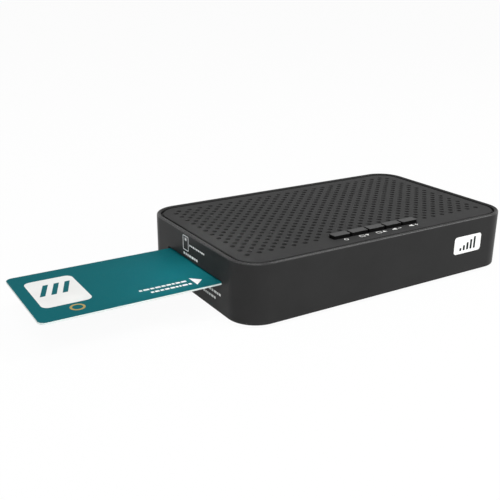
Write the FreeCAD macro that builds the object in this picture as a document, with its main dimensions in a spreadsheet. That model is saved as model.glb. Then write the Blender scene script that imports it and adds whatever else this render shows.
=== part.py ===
"""Satellite television receiver with a smart card, as separate solids in one parametric document.

Frame: millimetres, +Z up, +Y towards the rear sockets, -X towards the card slot. The origin is the middle of
the case, on the plane that the rubber feet stand on.
"""

import FreeCAD, Part
import Sketcher
import math
import operator
import os

DIMENSIONS = {
    # case
    "case_length": 165.0,
    "case_depth": 99.0,
    "case_height": 29.4,
    "corner_radius": 14.3,
    "wall": 2.0,
    "floor_thickness": 2.0,
    "rim_outer_bevel": 0.6,
    "rim_inner_bevel": 0.5,
    "rib_thickness": 1.4,
    "rib_depth": 1.6,
    "vent_length": 26.0,
    "vent_width": 2.4,
    "vent_pitch": 6.4,
    "vent_count": 8.0,
    "vent_front": 25.0,
    # sides of the small hidden round parts, and of the sockets' bores, noses and cut-outs
    "small_sides": 8.0,
    "socket_sides": 16.0,
    # feet
    "foot_height": 1.5,
    "foot_recess": 0.4,
    "foot_radius": 4.0,
    "foot_gap": 0.15,
    "foot_x": 58.0,
    "foot_y": 37.0,
    # top cover
    "cover_sink": 0.5,
    "cover_thickness": 2.0,
    "flange_thickness": 0.8,
    "flange_gap": 0.15,
    "shadow_gap": 0.8,
    # perforations of the top cover
    "perforation_pitch_x": 3.145,
    "perforation_pitch_y": 3.232,
    "perforation_columns": 47.0,
    "perforation_rows": 24.0,
    "perforation_front": 14.67,
    "perforation_area": 3.46,
    "bare_columns": 9.5,
    # screws that hold the cover from below
    "post_x": 73.5,
    "post_y": 42.0,
    "post_radius": 3.2,
    "boss_radius": 3.7,
    "counterbore_radius": 3.1,
    "counterbore_depth": 4.5,
    "housing_screw_radius": 1.4,
    "housing_screw_head_radius": 2.7,
    "housing_screw_head_height": 1.6,
    "housing_screw_reach": 20.0,
    "screw_clearance": 0.3,
    "thread_clearance": 0.05,
    # main board
    "board_length": 156.8,
    "board_depth": 91.0,
    "board_thickness": 1.6,
    "board_bottom": 10.9,
    "board_notch_x": 8.6,
    "board_notch_y": 7.0,
    "board_boss_radius": 3.0,
    "board_screw_radius": 1.15,
    "board_screw_head_radius": 2.6,
    "board_screw_head_height": 1.5,
    "board_screw_depth": 5.0,
    # card and card slot
    "card_length": 85.6,
    "card_width": 53.98,
    "card_thickness": 0.8,
    "card_corner": 3.18,
    "card_middle_y": -2.0,
    "card_middle_z": 16.3,
    "card_inserted": 3.4,
    "slot_width": 55.2,
    "slot_height": 1.5,
    "chip_length": 13.0,
    "chip_width": 11.8,
    "chip_depth": 0.25,
    "chip_from_end": 15.06,
    "chip_from_middle": 3.1,
    # card reader
    "reader_mouth_gap": 0.6,
    "reader_side": 3.0,
    "reader_side_clearance": 0.25,
    "reader_under_card": 0.05,
    "reader_over_card": 0.35,
    "reader_stop": 64.0,
    "reader_stop_thickness": 2.8,
    "reader_cover_thickness": 0.5,
    "reader_window_margin": 7.0,
    "contact_pitch": 2.54,
    "contact_row_offset": 3.81,
    "contact_leaf_length": 5.5,
    "contact_leaf_width": 1.3,
    "contact_leaf_thickness": 0.2,
    "contact_window_half_length": 8.6,
    "contact_window_half_width": 6.4,
    # keys
    "key_pitch": 10.75,
    "key_width": 9.6,
    "key_depth": 4.4,
    "key_from_front": 13.4,
    "key_proud": 1.6,
    "key_corner": 0.6,
    "key_edge_bevel": 0.5,
    "key_gap": 0.35,
    "key_flange_width": 10.35,
    "key_flange_depth": 6.6,
    "key_flange_thickness": 1.2,
    "key_stem": 3.0,
    "plunger_top": 22.0,
    "plunger_radius": 1.7,
    "plunger_seat": 1.8,
    "switch_side": 6.0,
    "switch_height": 3.8,
    "switch_well": 1.1,
    "switch_clearance": 0.1,
    # rear panel
    "panel_half_length": 67.5,
    "panel_flange": 0.8,
    "panel_field": 1.6,
    "panel_gap": 0.2,
    "rear_opening_half_length": 66.0,
    "rear_opening_low": 7.0,
    "rear_opening_high": 26.8,
    "cutout_gap": 0.3,
    "socket_stand": 0.4,
    # aerial socket and tuner
    "tuner_x": 52.0,
    "tuner_width": 26.0,
    "tuner_depth": 28.0,
    "tuner_height": 12.4,
    "tuner_wall": 0.5,
    "tuner_lid": 0.4,
    "tuner_rear": 45.0,
    "lnb_axis_height": 7.0,
    "lnb_radius": 4.76,
    "lnb_length": 15.0,
    "lnb_bore": 3.6,
    "lnb_bore_depth": 12.0,
    "lnb_pin_hole": 0.6,
    "lnb_insulator_sink": 1.0,
    "lnb_nut_flats": 11.1,
    "lnb_nut_thickness": 2.2,
    "lnb_nut_clearance": 0.04,
    "lnb_chamfer": 0.5,
    "lnb_relief": 0.5,
    "lnb_relief_depth": 0.15,
    # digital audio socket
    "audio_x": 33.0,
    "audio_axis_height": 7.0,
    "audio_body_width": 10.0,
    "audio_body_height": 12.0,
    "audio_body_depth": 12.0,
    "audio_collar_radius": 5.2,
    "audio_collar_length": 1.0,
    "audio_shell_radius": 4.15,
    "audio_shell_bore": 3.5,
    "audio_shell_length": 8.0,
    "audio_pin_hole": 1.6,
    "audio_insulator_sink": 0.6,
    # headphone-size audio and video jack
    "av_x": 19.5,
    "av_width": 8.0,
    "av_height": 7.0,
    "av_depth": 13.0,
    "av_nose_radius": 3.0,
    "av_bore": 1.8,
    "av_bore_depth": 14.0,
    # high-definition video socket
    "hdmi_x": 3.0,
    "hdmi_width": 15.0,
    "hdmi_height": 5.6,
    "hdmi_wall": 0.4,
    "hdmi_depth": 11.5,
    "hdmi_bevel": 1.6,
    "hdmi_tongue_width": 12.0,
    "hdmi_tongue_thickness": 1.0,
    "hdmi_tongue_length": 9.5,
    # USB socket
    "usb_x": -16.0,
    "usb_width": 13.1,
    "usb_height": 5.9,
    "usb_wall": 0.35,
    "usb_depth": 14.0,
    "usb_tongue_width": 11.1,
    "usb_tongue_thickness": 1.9,
    "usb_tongue_length": 12.0,
    # Ethernet socket
    "ethernet_x": -36.0,
    "ethernet_width": 16.0,
    "ethernet_height": 13.4,
    "ethernet_depth": 17.5,
    "ethernet_port_width": 11.9,
    "ethernet_port_height": 7.0,
    "ethernet_port_depth": 13.0,
    "ethernet_port_low": 4.6,
    "ethernet_latch_width": 6.2,
    "ethernet_latch_height": 2.6,
    "ethernet_contact_pitch": 1.02,
    "ethernet_contact_width": 0.45,
    # power socket
    "power_x": -55.5,
    "power_width": 9.0,
    "power_height": 11.0,
    "power_depth": 13.5,
    "power_axis_height": 6.5,
    "power_bore": 3.0,
    "power_bore_depth": 9.5,
    "power_pin_radius": 1.05,
    "power_pin_sink": 0.8,
    # parts on the board
    "processor_x": 4.0,
    "processor_y": 2.0,
    "processor_side": 19.0,
    "processor_height": 1.4,
    "heatsink_side": 26.0,
    "heatsink_base": 1.8,
    "heatsink_height": 9.0,
    "heatsink_fin": 1.0,
    "heatsink_fins": 8.0,
    "memory_length": 13.0,
    "memory_width": 8.0,
    "memory_height": 1.0,
    "capacitor_radius": 3.15,
    "capacitor_height": 8.0,
    "inductor_side": 7.0,
    "inductor_height": 3.6,
    "crystal_length": 11.2,
    "crystal_width": 4.6,
    "crystal_height": 3.4,
    "infrared_x": 62.0,
    "infrared_width": 6.0,
    "infrared_height": 7.0,
    "infrared_depth": 3.4,
    "infrared_lens": 2.5,
    "infrared_proud": 1.2,
    "lamp_x": 48.0,
    "lamp_radius": 1.5,
    "lamp_height": 5.0,
}

SIGNS = {"+": operator.add, "-": operator.sub, "*": operator.mul, "/": operator.truediv}
UP = FreeCAD.Vector(0, 0, 1)
UPRIGHT = FreeCAD.Rotation()
REARWARD = FreeCAD.Rotation(FreeCAD.Vector(1, 0, 0), -90)
FORWARD = FreeCAD.Rotation(FreeCAD.Vector(1, 0, 0), 90)
FRONT_BACK = (-1, 1)


class Size:
    """A length that knows both its number and the sheet formula that a property is bound to."""

    def __init__(self, text, number):
        self.text = text
        self.number = number

    def join(self, sign, other, swapped=False):
        """Combines this size with another size or a plain number."""
        other = other if isinstance(other, Size) else at(other)
        left, right = (other, self) if swapped else (self, other)
        return Size(f"({left.text} {sign} {right.text})", SIGNS[sign](left.number, right.number))

    def __add__(self, other):
        return self.join("+", other)

    def __radd__(self, other):
        return self.join("+", other, swapped=True)

    def __sub__(self, other):
        return self.join("-", other)

    def __rsub__(self, other):
        return self.join("-", other, swapped=True)

    def __mul__(self, other):
        return self.join("*", other)

    def __rmul__(self, other):
        return self.join("*", other, swapped=True)

    def __truediv__(self, other):
        return self.join("/", other)

    def __neg__(self):
        return self.join("*", -1.0)


def at(number):
    """A fixed place in the frame, as a size."""
    return Size(repr(float(number)), float(number))


class Sheet:
    """The spreadsheet of driving dimensions, each read as an attribute by its alias."""

    def __init__(self, document, values):
        cells = document.addObject("Spreadsheet::Sheet", "sizes")
        for row, (alias, number) in enumerate(values.items(), start=1):
            cells.set(f"A{row}", alias)
            cells.set(f"B{row}", str(number))
            cells.setAlias(f"B{row}", alias)
            setattr(self, alias, Size(f"sizes.{alias}", number))


doc = FreeCAD.newDocument("satellite_receiver")
dim = Sheet(doc, DIMENSIONS)
doc.recompute()
nodes = []


# Heights and planes that several pieces share
base_z = dim.foot_height
floor_z = base_z + dim.floor_thickness
rim_z = base_z + dim.case_height
cover_top_z = rim_z - dim.cover_sink
cover_under_z = cover_top_z - dim.cover_thickness
board_top_z = dim.board_bottom + dim.board_thickness
half_length = dim.case_length / 2
half_depth = dim.case_depth / 2
card_low_z = dim.card_middle_z - dim.card_thickness / 2
card_high_z = dim.card_middle_z + dim.card_thickness / 2
channel_floor_z = card_low_z - dim.reader_under_card
channel_roof_z = card_high_z + dim.reader_over_card
mouth_x = dim.wall + dim.reader_mouth_gap - half_length
stop_x = dim.reader_stop - half_length
chip_home_x = stop_x - dim.chip_from_end
chip_y = dim.card_middle_y + dim.chip_from_middle
key_y = dim.key_from_front - half_depth
panel_inner_y = half_depth - dim.wall - dim.panel_flange
panel_outer_y = panel_inner_y + dim.panel_flange + dim.panel_field
socket_face_y = panel_outer_y + dim.socket_stand
lnb_z = board_top_z + dim.lnb_axis_height
audio_z = board_top_z + dim.audio_axis_height
power_z = board_top_z + dim.power_axis_height


def bind(thing, prop, size):
    """Ties one property of a document object to the sheet."""
    if isinstance(size, Size):
        thing.setExpression(prop, size.text)


def place(thing, x, y, z, rotation=UPRIGHT):
    """Gives an object its rotation and ties its position to the sheet."""
    thing.Placement = FreeCAD.Placement(FreeCAD.Vector(), rotation)
    for axis, size in zip("xyz", (x, y, z)):
        bind(thing, f"Placement.Base.{axis}", size)


def node(thing, label):
    """Names a finished sub-part and lists it for export."""
    thing.Label = label
    nodes.append(thing)
    return thing


def block(name, x, y, z):
    """A box between two planes on each axis: x, y and z are (low, high) pairs."""
    box = doc.addObject("Part::Box", name)
    for prop, (low, high) in zip(("Length", "Width", "Height"), (x, y, z)):
        bind(box, prop, high - low)
    place(box, x[0], y[0], z[0])
    return box


def around(middle, width):
    """The pair of planes that stand half a width either side of a middle."""
    return middle - width / 2, middle + width / 2


def rod(name, x, y, z, radius, height, rotation=UPRIGHT):
    """A cylinder that grows from a point along its rotated Z axis."""
    cylinder = doc.addObject("Part::Cylinder", name)
    bind(cylinder, "Radius", radius)
    bind(cylinder, "Height", height)
    place(cylinder, x, y, z, rotation)
    return cylinder


def faceted_rod(name, x, y, z, radius, height, rotation=UPRIGHT, sides=None):
    """A rod with a few flat sides, for small round parts that are repeated, hollow or mostly hidden."""
    prism = doc.addObject("Part::Prism", name)
    bind(prism, "Polygon", sides or dim.small_sides)
    bind(prism, "Circumradius", radius)
    bind(prism, "Height", height)
    place(prism, x, y, z, rotation)
    return prism


def socket_rod(name, x, y, z, radius, height, rotation=None):
    """A rod along Y with the sides that the sockets' round forms share, rearward unless it is turned."""
    return faceted_rod(name, x, y, z, radius, height, rotation or REARWARD, dim.socket_sides)


def fuse(name, pieces):
    """One solid made of several that touch or overlap."""
    union = doc.addObject("Part::MultiFuse", name)
    union.Shapes = pieces
    union.Refine = True
    return union


def group(name, pieces):
    """Several separate solids that share one node."""
    compound = doc.addObject("Part::Compound", name)
    compound.Links = pieces
    return compound


def cut(name, base, tools):
    """A base with one tool, or several tools, taken out of it."""
    difference = doc.addObject("Part::Cut", name)
    difference.Base = base
    difference.Tool = tools[0] if len(tools) == 1 else group(f"{name}_tools", tools)
    return difference


def new_body(name):
    """An empty body for sketched features."""
    return doc.addObject("PartDesign::Body", name)


def new_sketch(body, name, offset, plane="XY_Plane"):
    """A sketch on one of the body's own origin planes, shifted along that plane's normal."""
    sketch = body.newObject("Sketcher::SketchObject", name)
    support = [item for item in body.Origin.OriginFeatures if item.Role == plane]
    sketch.AttachmentSupport = [(support[0], "")]
    sketch.MapMode = "FlatFace"
    bind(sketch, "AttachmentOffset.Base.z", offset)
    return sketch


def hold(sketch, kind, geometry, point, size):
    """Holds one point of a sketch at a distance from the sketch's origin along one axis, or on the other axis."""
    if size.number == 0:
        axis = -1 if kind == "DistanceY" else -2
        sketch.addConstraint(Sketcher.Constraint("PointOnObject", geometry, point, axis))
        return
    ends = (-1, 1, geometry, point) if size.number >= 0 else (geometry, point, -1, 1)
    length = size if size.number >= 0 else -size
    index = sketch.addConstraint(Sketcher.Constraint(kind, *ends, length.number))
    bind(sketch, f"Constraints[{index}]", length)


def pin_point(sketch, geometry, point, x, y):
    """Holds one point of a sketch at a distance from the sketch's origin along both axes."""
    hold(sketch, "DistanceX", geometry, point, x)
    hold(sketch, "DistanceY", geometry, point, y)


def draw_rectangle(sketch, x, y):
    """A rectangle between (low, high) pairs of planes, its two opposite corners pinned."""
    left, right, low, high = (size.number for size in (*x, *y))
    corners = [
        FreeCAD.Vector(left, low, 0),
        FreeCAD.Vector(right, low, 0),
        FreeCAD.Vector(right, high, 0),
        FreeCAD.Vector(left, high, 0),
    ]
    lines = [sketch.addGeometry(Part.LineSegment(corners[i], corners[(i + 1) % 4])) for i in range(4)]
    for i in range(4):
        sketch.addConstraint(Sketcher.Constraint("Coincident", lines[i], 2, lines[(i + 1) % 4], 1))
        sketch.addConstraint(Sketcher.Constraint(("Horizontal", "Vertical")[i % 2], lines[i]))
    pin_point(sketch, lines[0], 1, x[0], y[0])
    pin_point(sketch, lines[2], 1, x[1], y[1])


def draw_case_outline(sketch, inset):
    """The rounded outline of the case, set in by a margin: four lines joined by four tangent arcs."""
    far_x, far_y, radius = half_length - inset, half_depth - inset, dim.corner_radius - inset
    right, high, bend = far_x.number, far_y.number, radius.number
    signs = ((1, -1), (1, 1), (-1, 1), (-1, -1))
    centres = [FreeCAD.Vector(sx * (right - bend), sy * (high - bend), 0) for sx, sy in signs]
    lines, arcs = [], []
    for i, centre in enumerate(centres):
        turn = (i - 1) * math.pi / 2
        outward = FreeCAD.Vector(math.cos(turn), math.sin(turn), 0) * bend
        start, end = centres[i - 1] + outward, centre + outward
        lines.append(sketch.addGeometry(Part.LineSegment(start, end)))
        circle = Part.Circle(centre, UP, bend)
        arcs.append(sketch.addGeometry(Part.ArcOfCircle(circle, turn, turn + math.pi / 2)))
    for i in range(4):
        sketch.addConstraint(Sketcher.Constraint("Tangent", lines[i], 2, arcs[i], 1))
        sketch.addConstraint(Sketcher.Constraint("Tangent", arcs[i], 2, lines[(i + 1) % 4], 1))
        sketch.addConstraint(Sketcher.Constraint(("Horizontal", "Vertical")[i % 2], lines[i]))
    for arc in arcs[1:]:
        sketch.addConstraint(Sketcher.Constraint("Equal", arcs[0], arc))
    index = sketch.addConstraint(Sketcher.Constraint("Radius", arcs[0], bend))
    bind(sketch, f"Constraints[{index}]", radius)
    for line, kind, size in zip(lines, ("DistanceY", "DistanceX") * 2, (-far_y, far_x, far_y, -far_x)):
        hold(sketch, kind, line, 1, size)


def draw_outline(sketch, points):
    """A closed outline of straight lines with every corner pinned."""
    spots = [FreeCAD.Vector(x.number, y.number, 0) for x, y in points]
    count = len(points)
    for i in range(count):
        sketch.addGeometry(Part.LineSegment(spots[i], spots[(i + 1) % count]))
    for i, (x, y) in enumerate(points):
        sketch.addConstraint(Sketcher.Constraint("Coincident", i - 1 if i else count - 1, 2, i, 1))
        pin_point(sketch, i, 1, x, y)


def add_feature(body, kind, name, sketch, length, reverse):
    """A pad or a pocket of a sketch, checked for having changed the body's volume the right way."""
    doc.recompute()
    before = body.Shape.Volume if body.Tip else 0.0
    feature = body.newObject(kind, name)
    feature.Profile = sketch
    feature.Reversed = reverse
    bind(feature, "Length", length)
    body.Tip = feature
    doc.recompute()
    grown = body.Shape.Volume - before
    if (grown <= 0) == (kind == "PartDesign::Pad"):
        raise RuntimeError(f"{body.Name} {name}: the volume changed by {grown:.2f}")
    return feature


def pad(body, name, sketch, length, reverse=False):
    """Material grown from a sketch."""
    return add_feature(body, "PartDesign::Pad", name, sketch, length, reverse)


def pocket(body, name, sketch, length, reverse=False):
    """Material taken away through a sketch."""
    return add_feature(body, "PartDesign::Pocket", name, sketch, length, reverse)


def finish_edges(body, name, size, wanted, kind="PartDesign::Chamfer"):
    """Bevels or rounds the edges of the body's tip that pass a test."""
    doc.recompute()
    base = body.Tip
    edges = [f"Edge{i}" for i, edge in enumerate(base.Shape.Edges, start=1) if wanted(edge)]
    feature = body.newObject(kind, name)
    feature.Base = (base, edges)
    bind(feature, "Radius" if kind.endswith("Fillet") else "Size", size)
    body.Tip = feature
    doc.recompute()
    if not edges or not feature.Shape.isValid():
        raise RuntimeError(f"{body.Name} {name}: {len(edges)} edges, shape not valid")
    return feature


def turned(name, x, z, profile):
    """A body turned about an axis along Y, from a profile of (y, radius) corners."""
    body = new_body(f"{name}_body")
    sketch = new_sketch(body, f"{name}_profile", at(0), "YZ_Plane")
    draw_outline(sketch, profile)
    feature = body.newObject("PartDesign::Revolution", f"{name}_turning")
    feature.Profile = sketch
    feature.ReferenceAxis = (sketch, ["H_Axis"])
    feature.Angle = 360
    body.Tip = feature
    place(body, x, at(0), z)
    return body


def upright(edge):
    """True for a straight edge along Z."""
    box = edge.BoundBox
    return box.ZLength > 0.1 and box.XLength < 0.01 and box.YLength < 0.01


def level_with(height):
    """A test for edges that lie at one height."""
    return lambda edge: abs(edge.BoundBox.ZMin - height.number) + abs(edge.BoundBox.ZMax - height.number) < 0.01


def corners_at(positions, x, y):
    """A list of the four mirrored places of something that stands at each corner."""
    return [(sx * x, sy * y) for sx in positions for sy in positions]


def pad_outline(body, name, inset, low, thickness):
    """A pad with the case's outline, set in by a margin."""
    sketch = new_sketch(body, f"{name}_outline", low)
    draw_case_outline(sketch, inset)
    pad(body, f"{name}_pad", sketch, thickness)


def screw(name, x, y, head_z, head_radius, head_height, radius, length, rotation=UPRIGHT):
    """A pan-head screw whose shank points along its rotated Z axis, from under the head."""
    shank = faceted_rod(f"{name}_shank", x, y, head_z, radius, length, rotation)
    back = FreeCAD.Rotation(FreeCAD.Vector(1, 0, 0), 180) * rotation
    head = faceted_rod(f"{name}_head", x, y, head_z, head_radius, head_height, back)
    return fuse(name, [shank, head])


BOARD_SCREWS = [(at(x), at(y)) for x, y in ((73.0, 5.0), (-73.0, 33.0), (73.0, -33.0), (-73.0, -35.3))]


def make_lower_case():
    """The moulded tub: rounded walls with a bevelled rim, card slot, rear opening, bosses, ribs and vents."""
    body = new_body("case_shell")
    pad_outline(body, "shell", at(0), base_z, dim.case_height)
    hollow = new_sketch(body, "hollow_outline", rim_z)
    draw_case_outline(hollow, dim.wall)
    pocket(body, "hollow", hollow, dim.case_height - dim.floor_thickness)
    finish_edges(body, "rim_outer", dim.rim_outer_bevel, follows_outline(at(0), rim_z))
    finish_edges(body, "rim_inner", dim.rim_inner_bevel, follows_outline(dim.wall, rim_z))
    add_seat_ribs(body)
    cut_case_openings(body)
    cut_floor_vents(body)
    node(cut("case_drilled", fuse("case_solid", [body, *case_bosses()]), case_holes()), "lower_case")


def follows_outline(inset, height):
    """A test for the edges of the case's outline, set in by a margin, at one height."""
    level = level_with(height)

    def test(edge):
        box = edge.BoundBox
        reach_x = max(abs(box.XMin), abs(box.XMax)) - half_length.number
        reach_y = max(abs(box.YMin), abs(box.YMax)) - half_depth.number
        return level(edge) and abs(max(reach_x, reach_y) + inset.number) < 0.1

    return test


def add_seat_ribs(body):
    """Upright ribs on the walls whose tops carry the cover's flange."""
    sketch = new_sketch(body, "rib_outline", floor_z)
    front = dim.wall - half_depth
    for share in (-0.82, -0.28, 0.28, 0.82):
        draw_rectangle(sketch, around(share * (half_length - dim.corner_radius), dim.rib_thickness),
                       (front - dim.wall / 2, front + dim.rib_depth))
    side = half_length - dim.wall
    for share in (-0.6, 0.6):
        draw_rectangle(sketch, (side - dim.rib_depth, side + dim.wall / 2),
                       around(share * (half_depth - dim.corner_radius), dim.rib_thickness))
    for share in (-0.95, 0.95):
        draw_rectangle(sketch, (-side - dim.wall / 2, -side + dim.rib_depth),
                       around(share * (half_depth - dim.corner_radius), dim.rib_thickness))
    pad(body, "seat_ribs", sketch, cover_under_z - floor_z)


def case_bosses():
    """Bosses on the floor for the four cover screws and the four board screws."""
    height = dim.board_bottom - floor_z + dim.floor_thickness / 2
    low = floor_z - dim.floor_thickness / 2
    cover = [faceted_rod("cover_boss", x, y, low, dim.boss_radius, height)
             for x, y in corners_at(FRONT_BACK, dim.post_x, dim.post_y)]
    board = [faceted_rod("board_boss", x, y, low, dim.board_boss_radius, height) for x, y in BOARD_SCREWS]
    return cover + board


def case_holes():
    """Counterbored holes for the cover screws, pilot holes for the board screws and seats for the feet."""
    holes = []
    for x, y in corners_at(FRONT_BACK, dim.post_x, dim.post_y):
        holes.append(faceted_rod("counterbore", x, y, base_z, dim.counterbore_radius, dim.counterbore_depth))
        holes.append(faceted_rod("screw_hole", x, y, base_z, dim.housing_screw_radius + dim.screw_clearance,
                                 dim.board_bottom - base_z))
    for x, y in BOARD_SCREWS:
        holes.append(faceted_rod("pilot_hole", x, y, board_top_z - dim.board_screw_depth - 1.0,
                                 dim.board_screw_radius + dim.thread_clearance, dim.board_screw_depth))
    for x, y in corners_at(FRONT_BACK, dim.foot_x, dim.foot_y):
        holes.append(faceted_rod("foot_seat", x, y, base_z, dim.foot_radius + dim.foot_gap, dim.foot_recess))
    return holes


def cut_case_openings(body):
    """The card slot in the left wall and the rear opening."""
    slot = new_sketch(body, "card_slot_outline", -half_length, "YZ_Plane")
    draw_rectangle(slot, around(dim.card_middle_y, dim.slot_width), around(dim.card_middle_z, dim.slot_height))
    pocket(body, "card_slot", slot, dim.wall, reverse=True)
    rear = new_sketch(body, "rear_outline", -half_depth, "XZ_Plane")
    draw_rectangle(rear, (-dim.rear_opening_half_length, dim.rear_opening_half_length),
                   (dim.rear_opening_low, dim.rear_opening_high))
    pocket(body, "rear_opening", rear, dim.wall, reverse=True)


def cut_floor_vents(body):
    """Two banks of parallel slots through the floor, each a repeated first slot."""
    for bank, start in (("left", -40.0), ("right", 14.0)):
        sketch = new_sketch(body, f"{bank}_vent_outline", floor_z)
        low = dim.vent_front - half_depth
        draw_rectangle(sketch, (at(start), at(start) + dim.vent_length), (low, low + dim.vent_width))
        first = pocket(body, f"{bank}_vent", sketch, dim.floor_thickness)
        pattern = body.newObject("PartDesign::LinearPattern", f"{bank}_vents")
        pattern.Originals = [first]
        pattern.Direction = (sketch, ["V_Axis"])
        bind(pattern, "Length", dim.vent_pitch * (dim.vent_count - 1))
        bind(pattern, "Occurrences", dim.vent_count)
        body.Tip = pattern
        doc.recompute()


def make_top_cover():
    """The inset cover: stepped edge, key window, screw posts and the staggered field of perforations."""
    body = new_body("cover_blank")
    flange_z = cover_under_z + dim.flange_thickness
    pad_outline(body, "flange", dim.wall + dim.flange_gap, cover_under_z, dim.flange_thickness)
    pad_outline(body, "plate", dim.wall + dim.shadow_gap, flange_z, dim.cover_thickness - dim.flange_thickness)
    window = new_sketch(body, "key_window_outline", cover_top_z)
    draw_rectangle(window, around(at(0), 4 * dim.key_pitch + dim.key_width + 2 * dim.key_gap),
                   around(key_y, dim.key_depth + 2 * dim.key_gap))
    pocket(body, "key_window", window, dim.cover_thickness)
    corners = corners_at(FRONT_BACK, dim.post_x, dim.post_y)
    post_height = flange_z - dim.board_bottom
    posts = [faceted_rod("post", x, y, dim.board_bottom, dim.post_radius, post_height) for x, y in corners]
    bore_radius = dim.housing_screw_radius + dim.thread_clearance
    bore_height = dim.housing_screw_reach - dim.board_bottom
    bores = [faceted_rod("post_bore", x, y, dim.board_bottom, bore_radius, bore_height) for x, y in corners]
    holes = doc.addObject("Part::Feature", "perforations")
    holes.Shape = perforations()
    node(cut("perforated_cover", fuse("cover_solid", [body, *posts]), [*bores, holes]), "top_cover")


def perforations():
    """Prisms of the staggered perforations: three-sided, with the open area of the drilled holes.

    Odd rows sit half a pitch across from even rows and point the other way. The two front rows leave the
    key window's surround bare.
    """
    columns = int(dim.perforation_columns.number)
    rows = int(dim.perforation_rows.number)
    middle = (columns - 1) / 2
    reach = math.sqrt(4 * dim.perforation_area.number / (3 * math.sqrt(3)))
    prisms = []
    for row in range(rows):
        y = dim.perforation_front.number - half_depth.number + row * dim.perforation_pitch_y.number
        bare = dim.bare_columns.number - row if row < 2 else 0.0
        point = 1 - 2 * (row % 2)
        for column in range(row % 2, columns, 2):
            if abs(column - middle) < bare:
                continue
            x = (column - middle) * dim.perforation_pitch_x.number
            corners = [
                FreeCAD.Vector(x + reach * math.sin(turn), y + point * reach * math.cos(turn),
                               cover_under_z.number)
                for turn in (0, 2 * math.pi / 3, 4 * math.pi / 3)
            ]
            outline = Part.makePolygon([*corners, corners[0]])
            prisms.append(Part.Face(outline).extrude(UP * (2 * dim.cover_thickness.number)))
    return Part.Compound(prisms)


def make_feet_and_screws():
    """Four rubber feet in their seats, four screws up into the cover, four screws down into the board bosses."""
    feet = [
        faceted_rod("foot", x, y, at(0), dim.foot_radius, dim.foot_height + dim.foot_recess)
        for x, y in corners_at(FRONT_BACK, dim.foot_x, dim.foot_y)
    ]
    node(group("feet", feet), "rubber_feet")
    head_z = base_z + dim.counterbore_depth
    long_screws = [
        screw(f"long_screw_{i}", x, y, head_z, dim.housing_screw_head_radius, dim.housing_screw_head_height,
              dim.housing_screw_radius, dim.housing_screw_reach - head_z - 1.0)
        for i, (x, y) in enumerate(corners_at(FRONT_BACK, dim.post_x, dim.post_y))
    ]
    node(group("long_screws", long_screws), "housing_screws")
    downward = FreeCAD.Rotation(FreeCAD.Vector(1, 0, 0), 180)
    short_screws = [
        screw(f"short_screw_{i}", x, y, board_top_z, dim.board_screw_head_radius, dim.board_screw_head_height,
              dim.board_screw_radius, dim.board_screw_depth, downward)
        for i, (x, y) in enumerate(BOARD_SCREWS)
    ]
    node(group("short_screws", short_screws), "board_screws")


def make_main_board():
    """The circuit board: a rectangle with notched corners, where the cover's posts pass, and screw holes."""
    body = new_body("main_board_body")
    sketch = new_sketch(body, "board_outline", dim.board_bottom)
    far_x = dim.board_length / 2
    far_y = dim.board_depth / 2
    near_x = far_x - dim.board_notch_x
    near_y = far_y - dim.board_notch_y
    quarter = [(near_x, far_y), (near_x, near_y), (far_x, near_y)]
    outline = []
    for sx, sy, points in ((1, 1, quarter), (1, -1, quarter[::-1]), (-1, -1, quarter), (-1, 1, quarter[::-1])):
        outline += [(sx * x, sy * y) for x, y in points]
    draw_outline(sketch, outline)
    pad(body, "board", sketch, dim.board_thickness)
    holes = [faceted_rod("board_hole", x, y, dim.board_bottom, dim.board_screw_radius + dim.screw_clearance,
                         dim.board_thickness) for x, y in BOARD_SCREWS]
    node(cut("board_drilled", body, holes), "main_board")


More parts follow.
